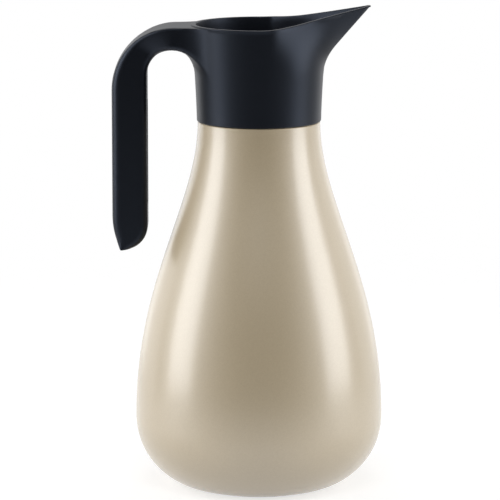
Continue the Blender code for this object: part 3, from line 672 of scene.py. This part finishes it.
def even_points(line, count):
    steps = [0.0]
    for a, b in zip(line, line[1:]):
        steps.append(steps[-1] + (b - a).length)
    points = []
    k = 0
    for i in range(count):
        place = steps[-1] * i / count
        while steps[k + 1] < place:
            k += 1
        points.append(line[k].lerp(line[k + 1], (place - steps[k]) / (steps[k + 1] - steps[k])))
    return points


def handle_section(outer, inner, half_width, outer_edge, inner_edge):
    outer = Vector((outer[0], 0.0, outer[1]))
    inner = Vector((inner[0], 0.0, inner[1]))
    middle = (outer + inner) / 2.0
    height = (outer - inner).length / 2.0
    up = (outer - inner).normalized()
    # A corner may not use up the whole side, or neighbouring corners would meet in a point.
    limit = 0.9 * min(height, half_width)

    def corner(side, level, edge):
        edge = min(edge, limit)
        centre = middle + side * SIDEWAYS * (half_width - edge) + level * up * (height - edge)
        return [
            centre + edge * (side * SIDEWAYS * math.sin(a) + level * up * math.cos(a)) for a in CORNER_TURNS
        ]

    high_near = corner(-1.0, 1.0, outer_edge)
    high_far = corner(1.0, 1.0, outer_edge)
    low_near = corner(-1.0, -1.0, inner_edge)
    low_far = corner(1.0, -1.0, inner_edge)
    # Each side of the section runs from the middle of one corner to the middle of the next.
    points = even_points(high_near[HALF_CORNER::-1] + high_far[:HALF_CORNER + 1], ROOT_COLUMNS)
    points += even_points(high_far[HALF_CORNER:] + low_far[:HALF_CORNER - 1:-1], ROOT_ROWS)
    points += even_points(low_far[HALF_CORNER::-1] + low_near[:HALF_CORNER + 1], ROOT_COLUMNS)
    points += even_points(low_near[HALF_CORNER:] + high_near[:HALF_CORNER - 1:-1], ROOT_ROWS)
    return points


print("points per section:", len(handle_section((-60.0, 250.0), (-60.0, 236.0), 18.0, 1.2, 3.0)))

# %% [markdown]
# The arm is wide and flat where it leaves the collar. Through the bend it narrows to the grip and its edges
# become rounder, and the grip's end is cut off in a quarter curve. All lengths are in millimetres.

# %% Bend, grip and end
def eased(t):
    t = min(1.0, max(0.0, t))
    return t * t * (3.0 - 2.0 * t)


ARM_HALF_WIDTH = 18.0
ARM_OUTER_EDGE = 1.2
ARM_INNER_EDGE = 3.0
GRIP_HALF_WIDTH = 12.0
GRIP_OUTER_EDGE = 5.0
GRIP_INNER_EDGE = 4.0
HANDLE_REACH = 85.0
GRIP_THICKNESS = 20.5
GRIP_INNER = HANDLE_REACH - GRIP_THICKNESS
GRIP_LENGTH = 73.0
GRIP_END = 20.0
OUTER_BEND = 37.0
INNER_BEND = 14.7
OUTER_CENTRE = (OUTER_BEND - HANDLE_REACH, HANDLE_TOP - OUTER_BEND)
ARM_THICKNESS = 13.2
INNER_CENTRE = (INNER_BEND - GRIP_INNER, HANDLE_TOP - ARM_THICKNESS - INNER_BEND)
GRIP_BOTTOM = OUTER_CENTRE[1] - GRIP_LENGTH
END_SWEEP = 4.5
END_FLAT = 2.0
END_WIDTH = GRIP_THICKNESS - END_SWEEP - END_FLAT
INNER_END = GRIP_BOTTOM - GRIP_END + END_WIDTH


def bend_section(turn):
    narrowing = eased(4.0 * turn / math.pi)
    rounding = eased(2.0 * turn / math.pi)
    outer = (OUTER_CENTRE[0] - OUTER_BEND * math.sin(turn), OUTER_CENTRE[1] + OUTER_BEND * math.cos(turn))
    inner = (INNER_CENTRE[0] - INNER_BEND * math.sin(turn), INNER_CENTRE[1] + INNER_BEND * math.cos(turn))
    return handle_section(
        outer,
        inner,
        ARM_HALF_WIDTH + narrowing * (GRIP_HALF_WIDTH - ARM_HALF_WIDTH),
        ARM_OUTER_EDGE + rounding * (GRIP_OUTER_EDGE - ARM_OUTER_EDGE),
        ARM_INNER_EDGE + rounding * (GRIP_INNER_EDGE - ARM_INNER_EDGE),
    )


def grip_section(share):
    outer = (-HANDLE_REACH, OUTER_CENTRE[1] - share * GRIP_LENGTH)
    inner = (-GRIP_INNER, INNER_CENTRE[1] + share * (INNER_END - INNER_CENTRE[1]))
    return handle_section(outer, inner, GRIP_HALF_WIDTH, GRIP_OUTER_EDGE, GRIP_INNER_EDGE)


def end_section(share):
    turn = share * math.pi / 2.0
    outer = (-HANDLE_REACH + END_SWEEP * share * share, GRIP_BOTTOM - share * GRIP_END)
    inner = (-GRIP_INNER - END_WIDTH * (1.0 - math.cos(turn)), INNER_END - END_WIDTH * math.sin(turn))
    return handle_section(outer, inner, GRIP_HALF_WIDTH, GRIP_OUTER_EDGE, GRIP_INNER_EDGE)


print("grip ends at a height in mm of", round(GRIP_BOTTOM - GRIP_END, 1))

# %% [markdown]
# Now the window's edge is extruded from section to section, as one would pull a loop of edges by hand. The
# first ten steps run from the collar's wall to the arm along smooth threads, and a flat face closes the end.

# %% Pull the handle out of the collar
UPWARDS = Vector((0.0, 0.0, 1.0))
BACKWARDS = Vector((-1.0, 0.0, 0.0))
LOWER_START = ROOT_COLUMNS + ROOT_ROWS
ROOT_STEPS = 10
BEND_STEPS = 24
GRIP_STEPS = 10
END_STEPS = 14
ROOT_PULL = 0.36
arm = bend_section(0.0)
starts = [vert.co / MM for vert in root_loop]
leaving = []
for index, start in enumerate(starts):
    around = Vector((-abs(start.y), start.x * math.copysign(1.0, start.y), 0.0)).normalized()
    if index <= ROOT_COLUMNS:
        way = BACKWARDS.lerp(around, (abs(index - HALF_COLUMNS) / HALF_COLUMNS) ** 2)
    elif LOWER_START <= index <= LOWER_START + ROOT_COLUMNS:
        way = UPWARDS + around * abs(index - LOWER_START - HALF_COLUMNS) / HALF_COLUMNS
    else:
        way = around + UPWARDS * (HANDLE_TOP - start.z) / ROOT_DEPTH
    leaving.append(way.normalized())

sections = []
for k in range(1, ROOT_STEPS + 1):
    t = k / ROOT_STEPS
    u = 1.0 - t
    section = []
    for start, goal, way in zip(starts, arm, leaving):
        pull = ROOT_PULL * (goal - start).length
        near = start + pull * way
        far = goal - pull * BACKWARDS
        section.append(u**3 * start + 3 * u * u * t * near + 3 * u * t * t * far + t**3 * goal)
    sections.append(section)
sections += [bend_section(k * math.pi / (2 * BEND_STEPS)) for k in range(1, BEND_STEPS + 1)]
sections += [grip_section(k / GRIP_STEPS) for k in range(1, GRIP_STEPS + 1)]
sections += [end_section(math.sin(k * math.pi / (2 * END_STEPS))) for k in range(1, END_STEPS + 1)]
loop = root_loop
for section in sections:
    loop = extrude_loop(bm, loop, section)
bmesh.ops.contextual_create(bm, geom=loop)
bmesh.ops.recalc_face_normals(bm, faces=bm.faces)
print("handle sections:", len(sections))

# %% [markdown]
# The thick grip is hollow on the real moulding, and a strip on the finger side closes it. A seat for that
# strip is cut out of the grip, and the strip itself is a thin plate with rounded edges.

# %% Seat and cover of the grip
COVER_GAP = 0.3
COVER_FACE = -GRIP_INNER - COVER_GAP
COVER_THICKNESS = 2.2
COVER_HALF_WIDTH = 6.6
COVER_HALF_LENGTH = 30.0
COVER_EDGE = 0.5
SEAT_OPENING = 3.0
COVER_MIDDLE = OUTER_CENTRE[1] - GRIP_LENGTH / 2.0


def block(low, high, edge):
    bm = bmesh.new()
    bmesh.ops.create_cube(bm, size=1.0)
    bmesh.ops.scale(bm, vec=(Vector(high) - Vector(low)) * MM, verts=bm.verts)
    bmesh.ops.translate(bm, vec=(Vector(high) + Vector(low)) / 2.0 * MM, verts=bm.verts)
    if edge > 0.0:
        bmesh.ops.bevel(
            bm,
            geom=bm.edges,
            offset=edge * MM,
            segments=3,
            profile=0.5,
            affect="EDGES",
            material=-1,
        )
    return bm


def cut_out(piece, tools):
    cutters = []
    for tool in tools:
        mesh = bpy.data.meshes.new("cutter")
        tool.to_mesh(mesh)
        tool.free()
        cutter = bpy.data.objects.new("cutter", mesh)
        scene.collection.objects.link(cutter)
        boolean = piece.modifiers.new("cut", "BOOLEAN")
        boolean.operation = "DIFFERENCE"
        boolean.object = cutter
        cutters.append(cutter)
    graph = bpy.context.evaluated_depsgraph_get()
    piece.data = bpy.data.meshes.new_from_object(piece.evaluated_get(graph))
    piece.data.set_sharp_from_angle(angle=SHARP_EDGE)
    piece.modifiers.clear()
    for cutter in cutters:
        bpy.data.objects.remove(cutter, do_unlink=True)
    print(piece.name, "cuts:", len(cutters))


cover_low = Vector((COVER_FACE - COVER_THICKNESS, -COVER_HALF_WIDTH, COVER_MIDDLE - COVER_HALF_LENGTH))
cover_high = Vector((COVER_FACE, COVER_HALF_WIDTH, COVER_MIDDLE + COVER_HALF_LENGTH))
all_round = Vector((COVER_GAP, COVER_GAP, COVER_GAP))
open_front = Vector((SEAT_OPENING, COVER_GAP, COVER_GAP))
seat = block(cover_low - all_round, cover_high + open_front, 0.0)
collar = finish_piece("collar_with_handle", bm, black_plastic, "jug", ["pour_collar"])
cut_out(collar, [seat])
cover_bm = block(cover_low, cover_high, COVER_EDGE)
finish_piece("grip_cover_strip", cover_bm, grey_plastic, "jug", ["handle_cover"])

# %% [markdown]
# ## Neck bush and stopper
# A bush in the neck holds the collar down and gives the stopper a smooth bore. A real one screws in, but
# its thread faces the neck and can't be seen, so it is left out. The stopper is a hollow plug with windows
# above its flange: liquid rises through the valve in its floor and runs out of the windows into the collar.
# All of it is turned. A corner is a radius, a height and an edge radius, in millimetres, and a corner
# without an edge radius stays sharp because another piece covers it.

# %% Neck bush
BUSH_BORE = 26.4
BUSH_RADIUS = 29.4
BUSH_RIM_RADIUS = 33.2
BUSH_BOTTOM = 208.0
BUSH_RIM_BOTTOM = 232.0
BUSH_TOP = 234.0
bush_line = rounded_section(
    [
        (BUSH_RIM_RADIUS, BUSH_TOP, 0.5),
        (BUSH_RIM_RADIUS, BUSH_RIM_BOTTOM, 0.3),
        (BUSH_RADIUS, BUSH_RIM_BOTTOM),
        (BUSH_RADIUS, BUSH_BOTTOM, 0.4),
        (BUSH_BORE, BUSH_BOTTOM, 0.6),
        (BUSH_BORE, BUSH_TOP, 0.6),
    ]
)
bush_bm = turn_section(bush_line)
finish_piece("smooth_neck_bush", bush_bm, grey_plastic, "jug", ["neck_bush"])

# %% [markdown]
# The plug is a short tube with a flange, a groove for its seal and a port in its floor. It could be made from
# a cylinder with insets, but one turned section keeps every wall and edge in one list.

# %% Plug
FLANGE_RADIUS = 30.5
FLANGE_TOP = 236.5
FLANGE_BOTTOM = 234.3
PLUG_RADIUS = 25.4
PLUG_BORE = 21.8
PLUG_BOTTOM = 206.3
PLUG_FLOOR = 208.9
PORT_RADIUS = 14.0
GROOVE_RADIUS = 23.6
GROOVE_TOP = 230.3
GROOVE_BOTTOM = 224.3
plug_line = rounded_section(
    [
        (FLANGE_RADIUS, FLANGE_TOP, 0.7),
        (FLANGE_RADIUS, FLANGE_BOTTOM, 0.5),
        (PLUG_RADIUS, FLANGE_BOTTOM, 0.4),
        (PLUG_RADIUS, GROOVE_TOP, 0.2),
        (GROOVE_RADIUS, GROOVE_TOP),
        (GROOVE_RADIUS, GROOVE_BOTTOM),
        (PLUG_RADIUS, GROOVE_BOTTOM, 0.2),
        (PLUG_RADIUS, PLUG_BOTTOM, 1.0),
        (PORT_RADIUS, PLUG_BOTTOM, 0.4),
        (PORT_RADIUS, PLUG_FLOOR, 0.4),
        (PLUG_BORE, PLUG_FLOOR),
        (PLUG_BORE, FLANGE_TOP, 0.4),
    ]
)
plug_bm = turn_section(plug_line)
finish_piece("hollow_plug", plug_bm, black_plastic, "stopper", ["stopper_body"])

# %% [markdown]
# The turret stands on the flange: six posts carry a deck with a well for the spring. It is turned first and
# its windows are cut afterwards, because cutting is how a mould's side slides would make them.

# %% Windowed turret
TURRET_RADIUS = 24.0
TURRET_BOTTOM = 236.8
TURRET_TOP = 257.0
DECK_BOTTOM = 246.9
DECK_TOP = 249.3
WELL_RADIUS = 10.0
WELL_BORE = 8.2
WELL_BOTTOM = 231.8
WELL_FLOOR = 233.8
STEM_HOLE = 3.3
WINDOW_COUNT = 6
WINDOW_LOW = (16.0, -7.0, 234.3)
WINDOW_HIGH = (28.0, 7.0, 245.7)
WINDOW_EDGE = 0.8
turret_line = rounded_section(
    [
        (TURRET_RADIUS, TURRET_TOP, 0.4),
        (TURRET_RADIUS, TURRET_BOTTOM, 0.3),
        (PLUG_BORE, TURRET_BOTTOM, 0.3),
        (PLUG_BORE, DECK_BOTTOM),
        (WELL_RADIUS, DECK_BOTTOM),
        (WELL_RADIUS, WELL_BOTTOM, 0.4),
        (STEM_HOLE, WELL_BOTTOM, 0.2),
        (STEM_HOLE, WELL_FLOOR, 0.2),
        (WELL_BORE, WELL_FLOOR),
        (WELL_BORE, DECK_TOP, 0.3),
        (PLUG_BORE, DECK_TOP),
        (PLUG_BORE, TURRET_TOP, 0.4),
    ]
)
turret_bm = turn_section(turret_line)
turret_node = ["stopper_turret"]
turret = finish_piece("windowed_turret", turret_bm, black_plastic, "stopper", turret_node)
windows = []
for k in range(WINDOW_COUNT):
    window_bm = block(WINDOW_LOW, WINDOW_HIGH, WINDOW_EDGE)
    turn = Matrix.Rotation(math.tau * k / WINDOW_COUNT, 3, "Z")
    bmesh.ops.rotate(window_bm, cent=(0.0, 0.0, 0.0), matrix=turn, verts=window_bm.verts)
    windows.append(window_bm)
cut_out(turret, windows)

# %% [markdown]
# The cap is a ring that snaps over the turret and keeps the button in. Its upper edge gets a larger radius
# because a thumb slides over it.

# %% Stopper cap
CAP_RADIUS = 26.3
CAP_BORE = 24.3
CAP_HOLE = 15.0
CAP_BOTTOM = 250.0
CAP_CEILING = 257.3
CAP_TOP = 259.5
cap_line = rounded_section(
    [
        (CAP_RADIUS, CAP_TOP, 1.2),
        (CAP_RADIUS, CAP_BOTTOM, 0.4),
        (CAP_BORE, CAP_BOTTOM, 0.3),
        (CAP_BORE, CAP_CEILING),
        (CAP_HOLE, CAP_CEILING),
        (CAP_HOLE, CAP_TOP, 0.5),
    ],
    steps=6,
)
finish_piece("turret_cap", turn_section(cap_line), black_plastic, "stopper", ["stopper_cap"])

# %% [markdown]
# The button is a shallow dish, open below, with a boss in the middle that pushes on the stem. Its section
# starts and ends on the axis, so the top is closed.

# %% Push button
BUTTON_RADIUS = 14.7
BUTTON_BORE = 12.7
BUTTON_TOP = 262.5
BUTTON_CEILING = 259.9
BUTTON_BOTTOM = 255.9
BOSS_RADIUS = 4.8
button_line = rounded_section(
    [
        (0.0, BUTTON_TOP),
        (BUTTON_RADIUS, BUTTON_TOP, 1.0),
        (BUTTON_RADIUS, BUTTON_BOTTOM, 0.3),
        (BUTTON_BORE, BUTTON_BOTTOM, 0.3),
        (BUTTON_BORE, BUTTON_CEILING),
        (BOSS_RADIUS, BUTTON_CEILING),
        (BOSS_RADIUS, BUTTON_BOTTOM, 0.3),
        (STEM_HOLE, BUTTON_BOTTOM),
        (STEM_HOLE, BUTTON_CEILING),
        (0.0, BUTTON_CEILING),
    ],
    steps=6,
)
button_bm = turn_section(button_line)
finish_piece("round_push_button", button_bm, grey_plastic, "button", ["push_button"])

# %% [markdown]
# Under the plug hangs the valve: a plate with a soft ring that closes the port when the spring lifts it.

# %% Valve plate
PLATE_RADIUS = 17.5
PLATE_BOTTOM = 200.8
PLATE_TOP = 203.3
plate_line = rounded_section(
    [
        (PLATE_RADIUS, PLATE_TOP, 0.4),
        (PLATE_RADIUS, PLATE_BOTTOM, 0.8),
        (STEM_HOLE, PLATE_BOTTOM),
        (STEM_HOLE, PLATE_TOP),
    ]
)
plate_bm = turn_section(plate_line, steps=96)
finish_piece("round_valve_plate", plate_bm, grey_plastic, "button", ["valve_plate"])

# %% [markdown]
# The gasket is a plain ring on that plate, wide enough to cover the edge of the port.

# %% Valve gasket
GASKET_RADIUS = 17.2
GASKET_BORE = 12.5
GASKET_BOTTOM = 203.6
GASKET_TOP = 206.0
gasket_line = rounded_section(
    [
        (GASKET_RADIUS, GASKET_TOP, 0.6),
        (GASKET_RADIUS, GASKET_BOTTOM, 0.4),
        (GASKET_BORE, GASKET_BOTTOM, 0.4),
        (GASKET_BORE, GASKET_TOP, 0.6),
    ]
)
gasket_bm = turn_section(gasket_line, steps=96)
finish_piece("soft_valve_gasket", gasket_bm, silicone, "button", ["valve_gasket"])

# %% [markdown]
# The lip seal sits in the plug's groove. Its two ridges wipe the bore, and a valley lies between them.

# %% Lip seal
SEAL_BORE = 23.9
SEAL_RADIUS = 24.9
SEAL_LIP_RADIUS = 26.1
SEAL_BOTTOM = 224.6
SEAL_TOP = 230.0
quarter_height = (SEAL_TOP - SEAL_BOTTOM) / 4.0
seal_line = rounded_section(
    [
        (SEAL_RADIUS, SEAL_TOP),
        (SEAL_LIP_RADIUS, SEAL_TOP - quarter_height, 0.3),
        (SEAL_RADIUS, SEAL_TOP - 2.0 * quarter_height, 0.4),
        (SEAL_LIP_RADIUS, SEAL_TOP - 3.0 * quarter_height, 0.3),
        (SEAL_RADIUS, SEAL_BOTTOM),
        (SEAL_BORE, SEAL_BOTTOM),
        (SEAL_BORE, SEAL_TOP),
    ]
)
finish_piece("two_lip_seal", turn_section(seal_line), silicone, "stopper", ["stopper_seal"])

# %% [markdown]
# ## Button spring
# The spring is a wire wound around the stem. A small circle, spun with a steady rise, gives the coil. It
# stands in the stopper's well.

# %% Coil spring
SPRING_BOTTOM = 237.2
SPRING_LENGTH = 22.4
SPRING_RADIUS = 6.4
SPRING_WIRE = 0.6
SPRING_TURNS = 7
STEPS_PER_TURN = 32
coil = bmesh.new()
wire = bmesh.ops.create_circle(coil, segments=12, radius=SPRING_WIRE * MM)["verts"]
bmesh.ops.rotate(coil, cent=(0.0, 0.0, 0.0), matrix=Matrix.Rotation(math.pi / 2.0, 3, "X"), verts=wire)
bmesh.ops.translate(coil, vec=Vector((SPRING_RADIUS, 0.0, SPRING_BOTTOM + SPRING_WIRE)) * MM, verts=wire)
spring_steps = STEPS_PER_TURN * SPRING_TURNS
rise = (SPRING_LENGTH - 2.0 * SPRING_WIRE) / spring_steps
bmesh.ops.spin(
    coil,
    geom=wire + coil.edges[:],
    axis=(0, 0, 1),
    cent=(0, 0, 0),
    dvec=(0.0, 0.0, rise * MM),
    angle=math.tau * SPRING_TURNS,
    steps=spring_steps,
)
bmesh.ops.holes_fill(coil, edges=[e for e in coil.edges if e.is_boundary])
bmesh.ops.recalc_face_normals(coil, faces=coil.faces)
spring = finish_piece("wound_button_spring", coil, steel, "stopper", ["button_spring"])
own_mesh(spring)

# %% [markdown]
# ## CAD pieces that stay
# The remaining solids already have their final shape. They keep it and only get the finished materials.

# %% Materials for the remaining solids
STAYING = {
    "base_disc": steel,
    "vacuum_plug": steel,
    "getter_capsule": getter_alloy,
    "collar_gasket": silicone,
    "bush_washer": silicone,
    "stem_seal": silicone,
    "spring_washer": steel,
    "valve_stem": steel,
    "valve_nut": steel,
}
for node, material in STAYING.items():
    solid = bpy.data.objects[node]
    solid.data.materials.clear()
    solid.data.materials.append(material)
print("kept solids:", len(STAYING))

# %% [markdown]
# ## Studio
# The jug was photographed on white with a large soft box at each side. The lacquer shows them as two bright
# streaks with a darker strip between, where it mirrors the dim room behind the camera. The floor is paper
# that fades into the white backdrop, so that no horizon shows, and it keeps the jug's soft shadow. The white
# is only what the camera and mirror-like surfaces see: it adds no light to the jug.

# %% Paper floor
FLOOR_LIFT = 0.67


def backdrop_share(tree, behind=None):
    path = add_node(tree, "ShaderNodeLightPath").outputs
    glossy = path["Is Glossy Ray"]
    if behind is not None:
        kept = {0: glossy, 1: behind}
        glossy = add_node(tree, "ShaderNodeMath", {"operation": "MULTIPLY"}, links=kept).outputs[0]
    adding = {"operation": "ADD", "use_clamp": True}
    direct = {0: path["Is Camera Ray"], 1: path["Is Transmission Ray"]}
    seen = add_node(tree, "ShaderNodeMath", adding, links=direct).outputs[0]
    return add_node(tree, "ShaderNodeMath", adding, links={0: seen, 1: glossy}).outputs[0]


floor_bm = bmesh.new()
bmesh.ops.create_grid(floor_bm, x_segments=1, y_segments=1, size=1.0)
floor_mesh = bpy.data.meshes.new("studio_floor")
floor_bm.to_mesh(floor_mesh)
floor_bm.free()
floor = bpy.data.objects.new("studio_floor", floor_mesh)
scene.collection.objects.link(floor)
paper, tree, place = new_material("white_paper_floor")
fibre = add_node(tree, "ShaderNodeTexNoise", values={"Scale": waves_per_metre(3.0)}, links={"Vector": place})
tone = add_node(tree, "ShaderNodeValToRGB", links={"Fac": fibre.outputs["Fac"]})
tone.color_ramp.elements[0].color = linear("#B8B8B8")
tone.color_ramp.elements[1].color = linear("#BCBCBC")
matt = add_node(tree, "ShaderNodeBsdfDiffuse", links={"Color": tone.outputs["Color"]})
lift = add_node(tree, "ShaderNodeMath", {"operation": "MULTIPLY"}, {1: FLOOR_LIFT}, {0: backdrop_share(tree)})
glow = add_node(tree, "ShaderNodeEmission", links={"Strength": lift.outputs["Value"]})
lifted = add_node(tree, "ShaderNodeAddShader", links={0: matt.outputs["BSDF"], 1: glow.outputs["Emission"]})
away = add_node(tree, "ShaderNodeVectorMath", {"operation": "LENGTH"}, links={0: place})
fade = add_node(
    tree,
    "ShaderNodeMapRange",
    {"interpolation_type": "SMOOTHSTEP"},
    {"From Min": 0.25, "From Max": 0.8},
    {"Value": away.outputs["Value"]},
)
clear = add_node(tree, "ShaderNodeBsdfTransparent")
blend = {0: fade.outputs["Result"], 1: lifted.outputs["Shader"], 2: clear.outputs["BSDF"]}
faded = add_node(tree, "ShaderNodeMixShader", links=blend)
add_node(tree, "ShaderNodeOutputMaterial", links={"Surface": faded.outputs["Shader"]})
floor_mesh.materials.append(paper)
print("floor width in m:", floor.dimensions.x)

# %% [markdown]
# Two soft boxes stand a little in front of the jug's sides, two dimmer panels behind it brighten its edges,
# and two faint lamps above fill the front and the floor.

# %% Lamps
def soft_box(name, place, aim, width, height, power):
    lamp = bpy.data.lights.new(name, "AREA")
    lamp.shape = "RECTANGLE"
    lamp.size = width
    lamp.size_y = height
    lamp.energy = power
    holder = bpy.data.objects.new(name, lamp)
    holder.location = place
    holder.rotation_euler = (Vector(aim) - Vector(place)).to_track_quat("-Z", "Y").to_euler()
    scene.collection.objects.link(holder)
    print(name, "power in W:", power)


JUG_MIDDLE = (0.0, 0.0, 0.15)
soft_box("left_soft_box", (-1.13, -0.2, 0.53), JUG_MIDDLE, 0.65, 1.18, 9.8)
soft_box("right_soft_box", (1.13, -0.2, 0.53), JUG_MIDDLE, 0.65, 1.18, 9.2)
soft_box("left_back_panel", (-1.13, 1.13, 0.5), JUG_MIDDLE, 1.3, 1.4, 5.4)
soft_box("right_back_panel", (1.13, 1.13, 0.5), JUG_MIDDLE, 1.3, 1.4, 4.4)
soft_box("overhead_soft_box", (0.0, 0.5, 1.9), JUG_MIDDLE, 1.0, 1.4, 5.0)
soft_box("front_soft_box", (0.0, -1.3, 1.7), JUG_MIDDLE, 1.0, 0.6, 9.0)

# %% [markdown]
# The world is the white backdrop for the camera, and for reflections that look behind the jug. For all other
# light it is a dim room. Its side walls are paler, because the soft boxes stand next to them.

# %% Backdrop and room
world = bpy.data.worlds.new("studio_world")
scene.world = world
world.use_nodes = True
tree = world.node_tree
tree.nodes.clear()
way = add_node(tree, "ShaderNodeTexCoord").outputs["Generated"]
parts = add_node(tree, "ShaderNodeSeparateXYZ", links={"Vector": way})
behind = add_node(
    tree,
    "ShaderNodeMapRange",
    {"interpolation_type": "SMOOTHSTEP"},
    {"From Min": 0.65, "From Max": 1.0},
    {"Value": parts.outputs["Y"]},
)
white = add_node(tree, "ShaderNodeBackground", values={"Color": linear("#FFFFFF"), "Strength": 1.0})
aside = add_node(tree, "ShaderNodeMath", {"operation": "ABSOLUTE"}, links={0: parts.outputs["X"]})
walls = add_node(
    tree,
    "ShaderNodeMapRange",
    {"interpolation_type": "SMOOTHSTEP"},
    {"From Min": 0.3, "From Max": 1.0, "To Min": 0.05, "To Max": 0.28},
    {"Value": aside.outputs["Value"]},
)
wall_links = {"Strength": walls.outputs["Result"]}
room = add_node(tree, "ShaderNodeBackground", values={"Color": linear("#FFFFFF")}, links=wall_links)
backdrop = backdrop_share(tree, behind.outputs["Result"])
mixed = add_node(tree, "ShaderNodeMixShader", links={0: backdrop, 1: room.outputs[0], 2: white.outputs[0]})
add_node(tree, "ShaderNodeOutputWorld", links={"Surface": mixed.outputs[0]})
print("world nodes:", len(tree.nodes))
